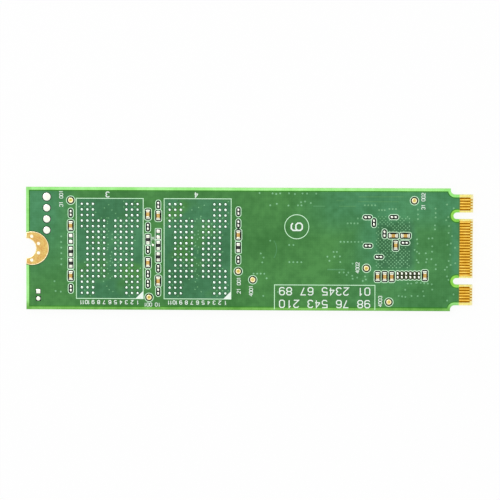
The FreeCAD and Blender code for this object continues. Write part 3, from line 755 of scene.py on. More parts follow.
# Test pad: (share of the radius, share of the plating)
TEST_RIM_PROFILE = ((1.0, 0), (1.0, 0.7), (0.94, 1.0), (0.66, 1.0), (0.58, 0.8), (0.58, 0))
TEST_MIDDLE_PROFILE = ((0.58, 0), (0.58, 0.8), (0.3, 0.78))


def plating_link(shape, x, y):
    """Cut end of a contact's plating link, which follows the bevel down."""
    drop = EDGE_BEVEL_DEPTH * (LINK_END - BEVEL_START) / EDGE_BEVEL_LENGTH
    w, h = LINK_WIDTH / 2, LINK_HEIGHT
    corners = ((-w, -h), (-w, h), (w, h), (w, -h))
    places = ((x, 0.0), (BEVEL_START, 0.0), (LINK_END, -drop))
    shape.loft([[(at, y + a, level + b) for a, b in corners] for at, level in places], "worn_copper")


def contacts(side, node):
    """Edge contacts with painted shade along their sides, with worn links and the mask lapped over their
    roots.
    """
    shape = Shape(side)
    s = FLANK_WIDTH
    for box in solids(node):
        x0, y0, x1, y1 = box.plan()
        # The wider lower block is painted darker gold, as painted shade along the contact's sides
        shape.block(x0, y0, x1, y1, 0, FLANK_HEIGHT, FLANK_EDGE, "gold_shaded_flank", CONTACT_CORNER)
        shape.block(x0, y0 + s, x1 - s, y1 - s, CONTACT_SEAT, PLATING, CONTACT_EDGE, "gold_contact")
        plating_link(shape, x1 - LINK_LAP, box.y)
    root = node_box(node).low.x
    for y0, y1 in contact_groups(node):
        plan = corners_of(root - ROOT_LAP, y0 - ROOT_LAP, root + ROOT_LAP, y1 + ROOT_LAP)
        shape.plate(plan, 0, PLATING + OPENING_HEIGHT, "mask_rim")
    shape.piece(node + "_plated", "gold_plate", node)


def pad_plan(centre, radius, inset):
    """Plan of the earthing pad, drawn in by an inset."""
    reach = radius - inset
    notch = NOTCH_RADIUS + inset
    bound = math.degrees(math.acos((MOUNTING_END + inset - centre) / reach))
    opening = math.degrees(math.acos(inset / notch))
    outer = arc(centre, 0, reach, -bound, bound, steps=48)
    return outer + arc(MOUNTING_END, 0, notch, opening, -opening, steps=32)


def mounting_pad(side, node):
    """Earthing pad round the screw notch, with a painted highlight on its rim, filled vias and the gap in the
    mask round it.
    """
    high = node_box(node).high
    radius = high.y
    centre = high.x - radius
    shape = Shape(side)
    loops = [at_height(pad_plan(centre, radius, inset), PLATING * h) for inset, h in PAD_RIM_PROFILE]
    shape.loft(loops, "gold_rim_highlight", ring=True)
    shape.plate(pad_plan(centre, radius, PAD_RIM), 0, PLATING * PAD_LEVEL, "gold_pad")
    shape.plate(pad_plan(centre, radius + PAD_MARGIN, 0), 0, OPENING_HEIGHT, "mask_opening")
    for angle in PAD_VIA_ANGLES:
        x = MOUNTING_END + PAD_VIA_RING * math.cos(math.radians(angle))
        y = PAD_VIA_RING * math.sin(math.radians(angle))
        profile = [(PAD_VIA_RADIUS * share, PLATING + lift) for share, lift in PAD_VIA_PROFILE]
        shape.turned(x, y, profile, "tin_terminal", sides=20)
    shape.piece(node + "_plated", "gold_plate", node)


def test_points():
    """Round gold test pads with a raised rim painted pale as a highlight."""
    shape = Shape()
    for box in solids("test_points"):
        radius = box.radius - TEST_PULLBACK
        rim = sized(TEST_RIM_PROFILE, radius, PLATING)
        middle = sized(TEST_MIDDLE_PROFILE, radius, PLATING)
        shape.turned(box.x, box.y, rim, "gold_rim_highlight", sides=32, ring=True)
        shape.turned(box.x, box.y, middle, "gold_test", sides=32)
    shape.piece("test_point_pads", "gold_plate", "test_points")


# Solder on bare pads

def opening(shape, box):
    """Gap that the mask leaves round a pad."""
    plan = rectangle(*box.plan(OPENING_MARGIN), OPENING_CORNER)
    shape.plate(plan, 0, OPENING_HEIGHT, "mask_opening")


def round_openings(shape, node, margin):
    """Round gaps that the mask leaves round the pads of a node."""
    for box in solids(node):
        shape.disc(box.x, box.y, box.radius + margin, 0, OPENING_HEIGHT, "mask_opening", sides=24)


def land_field(node):
    """Tinned lands, each a low dome of its own size."""
    draw = random.Random(node)
    shape = Shape()
    for box in solids(node):
        radius = box.radius * draw.uniform(*LAND_RADII)
        shape.dome(box.x, box.y, radius, LAND_DOME * draw.uniform(*LAND_HEIGHTS), "land_tin")
    shape.piece(node + "_domes", "solder_tin", node)


def service_pads():
    """Large tinned pads of the service header and the jumper."""
    large = {"sides": 32, "steps": 6}
    shape = Shape()
    for box in solids("service_header_pads"):
        shape.dome(box.x, box.y, box.radius - SOLDER_PULLBACK, HEADER_DOME, "solder", **large)
    shape.piece("service_header_domes", "solder_tin", "service_header_pads")
    shape = Shape()
    square, disc = sorted(solids("jumper_pads"), key=lambda box: -box.low.y)
    crown = crowned(*JUMPER_CROWN)
    shape.mound(*square.plan(-SOLDER_PULLBACK), crown, "solder", cells=10, corner=0.12)
    shape.dome(disc.x, disc.y, disc.radius - SOLDER_PULLBACK, JUMPER_DOME, "solder", **large)
    shape.piece("jumper_domes", "solder_tin", "jumper_pads")


# Chip parts

FILLET_BITE = 0.04
FILLET_FILM = 0.035
FILLET_CURVE = 2.2
FILLET_SHOULDERS = 0.55
END_EDGE = 0.07
END_EDGE_SHARE = 0.2
ALUMINA_EDGE = 0.01
GLAZE_SEAM_SHARE = 0.8
GLAZE_LAP = 0.02
GLAZE_INSET = 0.01
GLAZE_RISE = 0.015
GLAZE_EDGE = 0.03

# Chips: (stem of the nodes, face, body piece, end piece)
CHIPS = (
    ("chip_capacitor", UP, "capacitor_ceramics", "capacitor_ends"),
    ("chip_resistor", UP, "resistor_glazes", "resistor_ends"),
    ("bulk_capacitor", DOWN, "bulk_ceramics", "bulk_ends"),
    ("lower_capacitor", DOWN, "lower_ceramics", "lower_capacitor_ends"),
    ("lower_resistor", DOWN, "lower_resistor_glazes", "lower_resistor_ends"),
)
# Joints: (toe, rise of the fillet, side room), where the rise at a chip is a share of its height
JOINTS = {
    "chip_capacitor": (0.24, 0.55, 0.05), "chip_resistor": (0.25, 0.6, 0.0),
    "bulk_capacitor": (0.2, 0.5, 0.03), "lower_capacitor": (0.2, 0.55, 0.02),
    "lower_resistor": (0.2, 0.6, 0.02), "inductor": (0.25, 0.3, 0.06), "lead": (0.22, 0.08, 0.05),
}
CERAMIC_EDGE = {"chip_capacitor": 0.06, "bulk_capacitor": 0.05, "lower_capacitor": 0.03}

# Outlines as (width, length, corner); a pad's kind goes by its longer side, up to a limit
OUTLINE_SIZES = {"small": (0.95, 1.82, 0.46), "capacitor": (1.26, 2.18, 0.38), "resistor": (1.1, 2.1, 0.14)}
PAD_KINDS = (("small", 0.5), ("resistor", 0.6), ("capacitor", 9.0))
SMALL_SPACING = 0.66
ROW_TOLERANCE = 0.1


def nearest(box, others):
    return min(others, key=lambda other: (other.middle - box.middle).length)


def facing_out(box, chips):
    """Direction along x or y in which a terminal faces, away from its own chip."""
    away = box.middle - nearest(box, chips).middle
    if abs(away.x) > abs(away.y):
        return int(math.copysign(1, away.x)), 0
    return 0, int(math.copysign(1, away.y))


def fillet(shape, box, way, toe, rise, side_room):
    """Solder that climbs the end of a terminal from the toe of its pad."""
    dx, dy = way
    x0, y0, x1, y1 = box.plan()
    if dx:
        end = x1 if dx > 0 else x0
        x0, x1 = sorted((end - FILLET_BITE * dx, end + toe * dx))
        y0, y1 = y0 - side_room, y1 + side_room
    else:
        end = y1 if dy > 0 else y0
        y0, y1 = sorted((end - FILLET_BITE * dy, end + toe * dy))
        x0, x1 = x0 - side_room, x1 + side_room

    def surface(u, v):
        out = (1 + u * dx + v * dy) / 2
        across = u * abs(dy) + v * abs(dx)
        return FILLET_FILM + rise * (1 - out) ** FILLET_CURVE * (1 - FILLET_SHOULDERS * across ** 4)

    shape.mound(x0, y0, x1, y1, surface, "solder", cells=8, corner=0.15)


def bodies(side, node, name, slot, paint, edge, corner=0.0):
    """Rounded block for each solid of a node."""
    shape = Shape(side)
    for box in solids(node):
        shape.block(*box.plan(), *box.heights(side), edge, paint, corner)
    shape.piece(name, slot, node)


def glazed_bodies(side, node, name):
    """Resistor bodies: pale ceramic with a dark glazed element on the outer face."""
    shape = Shape(side)
    for box in solids(node):
        near, far = box.heights(side)
        seam = near + GLAZE_SEAM_SHARE * (far - near)
        x0, y0, x1, y1 = box.plan()
        shape.block(x0, y0, x1, y1, near, seam, ALUMINA_EDGE, "alumina")
        glaze = (x0 - GLAZE_LAP, y0 + GLAZE_INSET, x1 + GLAZE_LAP, y1 - GLAZE_INSET)
        shape.block(*glaze, seam - GLAZE_LAP, far + GLAZE_RISE, GLAZE_EDGE, "glaze_black")
    shape.piece(name, "resistor_glaze", node)


def chip_ends(side, stem, name, paint):
    """Plated end caps, each with its solder fillet."""
    shape = Shape(side)
    chips = solids(stem + "_bodies")
    toe, rise, side_room = JOINTS[stem]
    for box in solids(stem + "_terminals"):
        near, far = box.heights(side)
        shape.block(*box.plan(), near, far, min(END_EDGE, END_EDGE_SHARE * (far - near)), paint)
        fillet(shape, box, facing_out(box, chips), toe, rise * (far - near), side_room)
    shape.piece(name, "solder_tin", stem + "_terminals")


def chip_parts(face):
    """Capacitors and resistors of one face."""
    for stem, side, body_name, ends_name in CHIPS:
        if side != face:
            continue
        if stem in CERAMIC_EDGE:
            edge = CERAMIC_EDGE[stem]
            bodies(side, stem + "_bodies", body_name, "capacitor_ceramic", "ceramic_tan", edge)
            chip_ends(side, stem, ends_name, "tin_terminal")
        else:
            glazed_bodies(side, stem + "_bodies", body_name)
            chip_ends(side, stem, ends_name, "solder")


def pad_kind(box):
    """What a pad is for, by its longer side."""
    size = max(box.high.x - box.low.x, box.high.y - box.low.y)
    return next(kind for kind, limit in PAD_KINDS if size < limit)


def upper_pads():
    """Pads of the small parts: flat under fitted chips, domed where nothing is fitted."""
    ends = solids("chip_capacitor_terminals") + solids("chip_resistor_terminals")
    shape = Shape()
    for box in solids("passive_pads"):
        x0, y0, x1, y1 = box.plan()
        fitted = any(x0 < end.x < x1 and y0 < end.y < y1 for end in ends)
        rise = 0.0 if fitted else PAD_DOME - PLATING
        spread = SOLDER_SPREAD if pad_kind(box) == "resistor" else -SOLDER_PULLBACK
        shape.mound(*box.plan(spread), crowned(PAD_FILM, rise), "solder")
    shape.piece("passive_pad_solder", "solder_tin", "passive_pads")


# Print on the card

# Strokes of each numeral on a grid 4 wide and 6 high; a stroke that ends where it starts is a closed loop.
DIGITS = {
    "0": [[(0, 1), (0, 5), (1, 6), (3, 6), (4, 5), (4, 1), (3, 0), (1, 0), (0, 1)]],
    "1": [[(0.8, 4.8), (2, 6), (2, 0)]],
    "2": [[(0, 5), (1, 6), (3, 6), (4, 5), (4, 4), (0, 0), (4, 0)]],
    "3": [[(0, 5), (1, 6), (3, 6), (4, 5), (4, 4), (3, 3.1), (4, 2.2), (4, 1), (3, 0), (1, 0), (0, 1)]],
    "4": [[(3, 0), (3, 6), (0, 2)], [(0, 2), (4, 2)]],
    "5": [[(4, 6), (0, 6), (0, 3.6), (3, 3.6), (4, 2.6), (4, 1), (3, 0), (1, 0), (0, 1)]],
    "6": [[(4, 1), (4, 2.5), (3, 3.5), (1, 3.5), (0, 2.5), (0, 1), (1, 0), (3, 0), (4, 1)],
          [(0, 2), (0, 5), (1, 6), (3, 6), (4, 5.2)]],
    "7": [[(0, 6), (4, 6), (1.4, 0)]],
    "8": [[(0, 4.2), (0, 5), (1, 6), (3, 6), (4, 5), (4, 4.2), (3, 3.2), (1, 3.2), (0, 4.2)],
          [(0, 1), (0, 2.2), (1, 3.2), (3, 3.2), (4, 2.2), (4, 1), (3, 0), (1, 0), (0, 1)]],
    "9": [[(0, 5), (0, 3.5), (1, 2.5), (3, 2.5), (4, 3.5), (4, 5), (3, 6), (1, 6), (0, 5)],
          [(4, 4), (4, 1), (3, 0), (1, 0), (0, 0.8)]],
}
INK_LINE = 0.12
FIELD_LINE = 0.13
PIN_MARK = 1.4
FIELD_COLUMNS = 11
COLUMN_NUMBER_DROP = 0.65
TEST_RING_RADIUS = 0.77
# Ring round a numeral and tinned dot between the fields, as (x, y, radius)
NUMBER_RING = (8.5, 4.05, 2.16)
GAP_DOT = (-17.24, 0.66, 0.2)
# Marking box as (left, right, top)
MARKING_BOX = (4.55, 22.55, -6.4)

# Sizes of the numerals: (height, stroke, advance as a share of the height)
COLUMN_STYLE = (0.62, 0.12, 0.66)
TEST_STYLE = (0.6, 0.1, 0.84)
GAP_STYLE = (0.42, 0.08, 0.85)
FIELD_STYLE = (0.9, 0.16, 0.85)
RING_STYLE = (1.95, 0.25, 0.85)
MARKING_STYLE = (1.3, 0.18, 0.98)

# Plain numbers in the places of the print: (number, x, y, turn in degrees, style)
NUMBERS = (
    ("31 001", -33.7, 8.95, 90, TEST_STYLE), ("10 001", -17.4, -10.05, 180, TEST_STYLE),
    ("21 001", -1.85, -6.5, 90, TEST_STYLE), ("4001", 0.35, -7.5, 90, TEST_STYLE),
    ("31 002", 31.1, 8.7, 90, TEST_STYLE), ("4002", 19.4, -3.25, 90, TEST_STYLE),
    ("4003", 23.5, -9.3, 90, TEST_STYLE), ("31", -17.24, 1.87, 90, GAP_STYLE),
    ("3", -25.36, 9.7, 180, FIELD_STYLE), ("4", -9.5, 9.7, 180, FIELD_STYLE),
    ("6", *NUMBER_RING[:2], 90, RING_STYLE), ("01 2345 67 89", 13.55, -7.53, 180, MARKING_STYLE),
    ("98 76 543 210", 13.55, -9.8, 180, MARKING_STYLE),
)
SCALLOP = 0.53
# Half length and half width of the mask between two unfitted pads
MASK_BRIDGE = (0.15, 0.36)


def print_number(shape, text, x, y, turn, style):
    """Plain stroke numerals centred on a place and turned by an angle."""
    height, stroke, advance = style
    unit = height / 6
    cos, sin = math.cos(math.radians(turn)), math.sin(math.radians(turn))
    for i, digit in enumerate(text):
        shift = (i - (len(text) - 1) / 2) * advance * height
        for layer, path in enumerate(DIGITS.get(digit, [])):
            closed = path[0] == path[-1]
            flat = [(shift + (u - 2) * unit, (v - 3) * unit) for u, v in path[closed:]]
            points = [(x + a * cos - b * sin, y + a * sin + b * cos) for a, b in flat]
            shape.ribbon(points, stroke, INK_HEIGHT + layer * INK_STEP, "ink_white", closed)


def part_places():
    """Places of the small parts, read from their pairs of pads, as (kind, along, x, y)."""
    places = []
    for a, b in pairs("passive_pads"):
        along = "x" if abs(a.x - b.x) > abs(a.y - b.y) else "y"
        places.append((pad_kind(a), along, (a.x + b.x) / 2, (a.y + b.y) / 2))
    return places


def in_runs(places):
    """Groups small places that stand side by side, closer than their outlines are wide."""
    runs = []
    width = OUTLINE_SIZES["small"][0]
    for place in sorted(places, key=lambda p: (round(p[3], 1), p[2])):
        last = runs[-1][-1] if runs else None
        beside = last and place[:2] == last[:2] == ("small", "y") and abs(place[3] - last[3]) < ROW_TOLERANCE
        if beside and 0 < place[2] - last[2] < width:
            runs[-1].append(place)
        else:
            runs.append([place])
    return runs


def around(along, x, y, length, width, margin=0.0):
    """Lowest x and y and highest x and y of a rectangle that lies along x or y."""
    half_x, half_y = (length / 2, width / 2) if along == "x" else (width / 2, length / 2)
    return x - half_x - margin, y - half_y - margin, x + half_x + margin, y + half_y + margin


def scalloped(run):
    """Outline round a run of close places that bulges at every pad."""
    reach = SMALL_SPACING / 2
    half_pitch = (run[-1][2] - run[0][2]) / (len(run) - 1) / 2
    turn = math.degrees(math.acos(half_pitch / SCALLOP))
    path = []
    for _, _, x, y in run:
        path += arc(x, y + reach, SCALLOP, 180 - turn, turn, steps=6)
    for _, _, x, y in reversed(run):
        path += arc(x, y - reach, SCALLOP, -turn, turn - 180, steps=6)
    return [p for p, after in zip(path, path[1:] + path[:1]) if math.dist(p, after) > WELD]


def part_outlines(shape, gaps):
    """Printed outlines round the small parts, bare inside, with mask left between large unfitted pads."""
    fitted = solids("chip_resistor_bodies")
    for i, run in enumerate(in_runs(part_places())):
        kind, *place = run[0]
        width, length, corner = OUTLINE_SIZES[kind]
        path = scalloped(run) if len(run) > 1 else rectangle(*around(*place, length, width), corner)
        shape.ribbon(path, INK_LINE, INK_HEIGHT + i % INK_LAYERS * INK_STEP, "ink_line", closed=True)
        gaps.plate(path, 0, BARE_HEIGHT, "brown_opening" if len(run) > 1 else "mask_bare")
        empty = all(math.dist(place[1:], (box.x, box.y)) > MASK_BRIDGE[0] for box in fitted)
        if kind == "resistor" and empty:
            bridge = around(*place, 2 * MASK_BRIDGE[0], 2 * MASK_BRIDGE[1])
            gaps.plate(corners_of(*bridge), 0, BRIDGE_HEIGHT, "mask_track")


def field_outline(shape, node):
    """Outline of an unfitted package with its first-pin mark and column numbers."""
    box = node_box(node)
    shape.ribbon(corners_of(*box.plan()), FIELD_LINE, INK_HEIGHT, "ink_line", closed=True)
    x, y = box.high.x, box.low.y
    shape.plate([(x, y), (x, y + PIN_MARK), (x - PIN_MARK, y)], 0, INK_HEIGHT + INK_STEP, "ink_white")
    for i in range(FIELD_COLUMNS):
        x = box.x + i - (FIELD_COLUMNS - 1) / 2
        print_number(shape, str(FIELD_COLUMNS - i), x, y - COLUMN_NUMBER_DROP, 180, COLUMN_STYLE)


def upper_print(gaps):
    """All print of the upper face."""
    shape = Shape()
    part_outlines(shape, gaps)
    for node in FLASH_PACKAGES:
        field_outline(shape, node)
    for box in solids("test_points"):
        shape.band(box.x, box.y, TEST_RING_RADIUS, INK_LINE, INK_HEIGHT, "ink_line")
    shape.band(*NUMBER_RING, FIELD_LINE, INK_HEIGHT, "ink_line", sides=72)
    left, right, top = MARKING_BOX
    bottom = -HALF_WIDTH + COPPER_PULLBACK * 0.4
    path = [(left, bottom), (left, top), (right, top), (right, bottom)]
    shape.ribbon(path, FIELD_LINE, INK_HEIGHT, "ink_line")
    for number in NUMBERS:
        print_number(shape, *number)
    shape.piece("upper_print", "board_mask")


# Vias and tracks under the mask

# Rows of vias: (x, y, count, step in x, step in y)
VIA_ROWS = (
    (-33.7, 2.15, 6, 0.0, -1.01), (0.8, -4.4, 4, 0.64, 0.0), (16.35, 1.38, 7, 0.64, 0.0),
    (17.6, 4.7, 4, 0.6, 0.0), (7.2, -2.3, 4, 0.71, 0.0), (16.15, -4.13, 3, 0.8, 0.0),
    (7.15, 0.78, 2, 0.77, 0.0), (15.1, -0.43, 2, 0.6, 0.0), (33.3, 7.4, 3, 0.0, -0.78),
    (33.2, 4.4, 2, 0.0, -0.7), (30.15, 7.2, 3, 0.0, -0.85), (23.2, 7.1, 3, 0.5, 0.0),
    (20.65, 7.95, 4, 0.62, 0.0), (25.05, 7.3, 3, 0.58, 0.0), (28.4, -6.05, 2, 0.63, 0.0),
    (30.1, -5.85, 4, 0.63, -0.06), (26.8, -8.3, 3, 0.6, -0.08), (29.1, -8.3, 3, 1.1, 0.0),
    (33.4, -2.65, 2, 0.0, -0.8), (19.4, 5.6, 2, 0.7, 0.0), (32.1, 2.05, 2, 0.65, 0.05),
    (31.8, -1.66, 2, 0.8, 0.0), (32.73, 0.65, 2, 0.0, -0.97), (8.7, 7.9, 2, 0.62, 0.0),
)
# Loose vias: (x0, y0, x1, y1, count)
VIA_AREAS = (
    (1.7, 9.9, 12.0, 10.1, 9), (35.0, -9.5, 37.2, 8.3, 20), (29.5, -2.9, 31.8, 2.9, 9),
    (17.4, -5.7, 21.0, -4.5, 7), (26.6, -9.0, 33.6, -5.8, 5), (3.5, 7.6, 12.6, 8.6, 6),
    (2.0, -8.6, 6.0, 3.2, 7), (14.0, -2.6, 20.0, -0.8, 6), (-38.0, -9.8, -33.5, -4.5, 3),
)
VIA_PROFILE = ((1.0, 0), (0.85, 1.0), (0.55, 1.0), (0.25, 0.45))
VIA_SPACING = 0.5
VIA_TRIES = 20
VIA_RADIUS = 0.17
FIELD_VIA_RADIUS = 0.12
FIELD_VIA_PITCH = 0.65
CONTROLLER_VIA_SHARE = 0.8
CONTROLLER_COLUMNS = range(-9, 10)
CONTROLLER_ROWS = range(-16, 13)
STRING_VIAS = 34
STRING_VIA_SHARE = 0.75
STRING_END = 1.2
STRING_JITTER = 0.15
STRING_WAIST = 5.6
STRING_REACH = {"waist": 0.45, "ends": 1.6}
DOGBONE = 0.5
DOGBONE_SHARE = 0.72
DOGBONE_WIDTH = 0.1
TRACK_WIDTH = 0.14
PAD_CLEARANCE = 0.22
OUTLINE_CLEARANCE = 0.12

# Tracks that show through the mask of the upper face: (width, points)
UPPER_TRACKS = (
    (0.22, ((19.5, 9.45), (27.6, 9.5))), (0.18, ((19.4, 8.6), (26.75, 8.6))),
    (0.2, ((15.5, 8.75), (16.9, 8.75))), (0.2, ((16.0, 7.75), (19.05, 7.75))),
    (0.25, ((11.4, 7.75), (13.5, 7.75))), (0.25, ((14.0, -3.6), (17.2, -3.6))),
)
# Curved one as (x, y, radius, first angle, last angle)
CURVED_TRACK = (2.2, 0.0, 2.7, 35, -35)


def kept_areas():
    """Areas of the upper face that vias stay out of, as lowest x and y and highest x and y."""
    areas = []
    for node in ("passive_pads", "test_points", "service_header_pads", "jumper_pads"):
        areas += [box.plan(PAD_CLEARANCE) for box in solids(node)]
    for kind, *place in part_places():
        width, length, _ = OUTLINE_SIZES[kind]
        areas.append(around(*place, length, width, OUTLINE_CLEARANCE))
    for key in KEY_CENTRES:
        middle = CARD_EDGE - KEY_DEPTH / 2
        areas.append(around("x", middle, key, KEY_DEPTH, KEY_WIDTH, COPPER_PULLBACK + VIA_RADIUS))
    return areas


def is_clear(x, y, areas):
    return not any(x0 < x < x1 and y0 < y < y1 for x0, y0, x1, y1 in areas)


def tented_via(shape, x, y, radius):
    """Via closed over by the mask: a low ring with a dimple."""
    shape.turned(x, y, sized(VIA_PROFILE, radius, VIA_HEIGHT), "mask_via", sides=12)


def track(shape, path, width):
    shape.ribbon(path, width, TRACK_HEIGHT, "mask_track")


def dogbones(shape, node):
    """Short tracks from lands to the vias between them."""
    draw = random.Random(node + "_vias")
    for box in solids(node):
        if draw.random() < DOGBONE_SHARE:
            way = draw.choice(((1, 1), (-1, 1), (1, -1), (-1, -1)))
            end = (box.x + way[0] * DOGBONE, box.y + way[1] * DOGBONE)
            track(shape, [(box.x, box.y), end], DOGBONE_WIDTH)
            tented_via(shape, *end, FIELD_VIA_RADIUS)


def string_vias(shape, node):
    """Loose string of vias down the empty middle of a land field."""
    box = node_box(node)
    draw = random.Random(node)
    step = (box.high.y - box.low.y - 2 * STRING_END) / (STRING_VIAS - 1)
    for i in range(STRING_VIAS):
        y = box.high.y - STRING_END - i * step
        reach = STRING_REACH["ends" if abs(y) > STRING_WAIST else "waist"]
        if draw.random() < STRING_VIA_SHARE:
            x = box.x + draw.uniform(-reach, reach)
            tented_via(shape, x, y + draw.uniform(-STRING_JITTER, STRING_JITTER), FIELD_VIA_RADIUS)


def scattered_vias(areas):
    """Random places in the via areas, clear of parts and of each other."""
    draw = random.Random(3)
    places = []
    for x0, y0, x1, y1, count in VIA_AREAS:
        tries = [(draw.uniform(x0, x1), draw.uniform(y0, y1)) for _ in range(VIA_TRIES * count)]
        wanted = len(places) + count
        for x, y in tries:
            room = all(math.dist((x, y), place) > VIA_SPACING for place in places)
            if room and len(places) < wanted and is_clear(x, y, areas):
                places.append((x, y))
    return places


def controller_vias(shape, areas):
    """Staggered via field behind the controller."""
    box = node_box("controller_package")
    draw = random.Random(5)
    for i in CONTROLLER_COLUMNS:
        for j in CONTROLLER_ROWS:
            x = box.x + i * FIELD_VIA_PITCH / 2
            y = box.y + j * FIELD_VIA_PITCH / 2
            if (i + j) % 2 == 0 and draw.random() < CONTROLLER_VIA_SHARE and is_clear(x, y, areas):
                tented_via(shape, x, y, FIELD_VIA_RADIUS)


def upper_tracks():
    """Tracks and vias of the upper face."""
    shape = Shape()
    areas = kept_areas()
    places = scattered_vias(areas)
    for x, y, count, step_x, step_y in VIA_ROWS:
        places += [(x + i * step_x, y + i * step_y) for i in range(count)]
    for x, y in places:
        if is_clear(x, y, areas):
            tented_via(shape, x, y, VIA_RADIUS)
    controller_vias(shape, areas)
    for lands, package_node in zip(FLASH_LANDS, FLASH_PACKAGES):
        dogbones(shape, lands)
        string_vias(shape, package_node)
    for width, path in UPPER_TRACKS:
        track(shape, path, width)
    track(shape, arc(*CURVED_TRACK), TRACK_WIDTH)
    shape.dome(*GAP_DOT, PLATING, "solder")
    shape.piece("upper_tracks", "board_mask")


# The lower face

# Packages and how thick their substrates are
PACKAGES = {"flash_package_left": 0.22, "flash_package_right": 0.22, "controller_package": 0.26,
            "buffer_memory_package": 0.2}
BALL_PITCH = {"controller_package": 0.65, "buffer_memory_package": 0.8}
BALL_PROFILE = ((0.75, 0.0), (0.95, 0.25), (1.0, 0.5), (0.95, 0.75), (0.75, 1.0))
LARGE_BALL = 0.24
SMALL_BALL = 0.17
BALL_ROWS = 3
BALL_EDGE = 0.6
SUBSTRATE_EDGE = 0.012
SUBSTRATE_CORNER = 0.03
MOULD_EDGE = 0.035
MOULD_CORNER = 0.06
REGULATOR_CORNER = 0.05
# First-pin dots: (radius, depth, lift)
PACKAGE_DOT = (0.35, 0.02, 0.002)
REGULATOR_DOT = (0.16, 0.01, 0.004)
PACKAGE_DOT_INSET = 1.0
REGULATOR_DOT_INSET = 0.45
LEAD_THICKNESS = 0.12
LEAD_KNEE_PLACE = 0.09
LEAD_KNEE = 0.07
LEAD_KNEE_ANGLES = (0.4, 0.8, 1.2)
LEAD_FOOT = 0.3
# Lower bend and foot of a lead: (distance from the tip, lift)
LEAD_BEND = ((0.4, 0.09), (0.36, 0.03), (0.28, 0), (0, 0))
STRAP = 0.1
STRAP_EDGE = 0.02
LID_SEAM = 0.07
LID_SEAM_EDGE = 0.02
LID_STEP = 0.14
LID_SEAT = 0.04
LID_EDGE = 0.05
LOWER_LINE = 0.16
# Outlines as (margin, corner)
PACKAGE_OUTLINE = (0.3, 0.05)
CHIP_OUTLINE = (0.36, 0.25)
REGULATOR_OUTLINE = (0.12, 0.1)
CRYSTAL_OUTLINE = (0.3, 0.2)
LOWER_PIN_MARK = 0.9
LOWER_TRACK_LENGTHS = (0.9, 1.6, 2.3)
KEY_TRACK_LENGTH = 0.5
LOWER_TRACK_WIDTH = 0.16
LOWER_VIAS = 150
LOWER_VIA_TRIES = 20000
LOWER_VIA_CLEARANCE = 0.8
KEY_REACH = 2.0
FACE_MARGIN = 1
LOWER_CHIPS = ("lower_capacitor_terminals", "lower_resistor_terminals", "bulk_capacitor_terminals")
LOWER_PAIRS = (*LOWER_CHIPS, "inductor_terminals")


def pin_dot(shape, x, y, face, dot, sides):
    """Marked dot at the first pin, let into a face of a moulding."""
    radius, depth, lift = dot
    shape.disc(x, y, radius, face - depth, face + lift, "laser_mark", sides)


def package(node, substrate):
    """Ball-grid package: green substrate, sawn black mould and a first-pin dot."""
    box = node_box(node)
    near, far = box.heights(DOWN)
    seam = near + substrate
    shape = Shape(DOWN)
    shape.block(*box.plan(), near, seam, SUBSTRATE_EDGE, "substrate_green", SUBSTRATE_CORNER)
    shape.block(*box.plan(), seam, far, MOULD_EDGE, "mould_black", MOULD_CORNER)
    x, y = box.low.x + PACKAGE_DOT_INSET, box.high.y - PACKAGE_DOT_INSET
    pin_dot(shape, x, y, far, PACKAGE_DOT, sides=28)
    shape.piece(node + "_moulded", "package_mould", node)


def ball_places(node):
    """Ball grid of a package: the flash grids match the lands above, the others run round the edge."""
    if node not in BALL_PITCH:
        return [(land.x, land.y) for land in solids(node.replace("package", "lands"))]
    box = node_box(node)
    pitch = BALL_PITCH[node]
    nx, ny = [int((box.high[k] - box.low[k] - 2 * BALL_EDGE) / pitch) for k in range(2)]
    places = []
    for i in range(nx + 1):
        for j in range(ny + 1):
            if min(i, nx - i, j, ny - j) < BALL_ROWS:
                places.append((box.x + (i - nx / 2) * pitch, box.y + (j - ny / 2) * pitch))
    return places


def solder_balls():
    """Balls between the packages and the card, flattened where they wet both."""
    shape = Shape(DOWN)
    for node in PACKAGES:
        standoff, _ = node_box(node).heights(DOWN)
        width = SMALL_BALL if node in BALL_PITCH else LARGE_BALL
        for x, y in ball_places(node):
            shape.turned(x, y, sized(BALL_PROFILE, width, standoff), "solder", sides=10)
    shape.piece("solder_balls", "solder_tin")


def regulators():
    """Moulded regulators with drafted walls and formed leads."""
    chips = solids("regulator_bodies")
    shape = Shape(DOWN)
    for box in chips:
        near, far = box.heights(DOWN)
        middle = (near + far) / 2
        draft = ((near, 0.11), (near + 0.02, 0.08), (middle - 0.06, 0), (middle + 0.06, 0),
                 (far - 0.03, 0.085), (far, 0.12))
        plans = [(rectangle(*box.plan(-inset), REGULATOR_CORNER), h) for h, inset in draft]
        shape.loft([at_height(*plan) for plan in plans], "mould_black")
        x, y = box.low.x + REGULATOR_DOT_INSET, box.low.y + REGULATOR_DOT_INSET
        pin_dot(shape, x, y, far, REGULATOR_DOT, sides=20)
    shape.piece("regulator_mouldings", "package_mould", "regulator_bodies")
    shape = Shape(DOWN)
    for box in solids("regulator_leads"):
        lead(shape, box, int(math.copysign(1, box.y - nearest(box, chips).y)))
    shape.piece("regulator_formed_leads", "solder_tin", "regulator_leads")


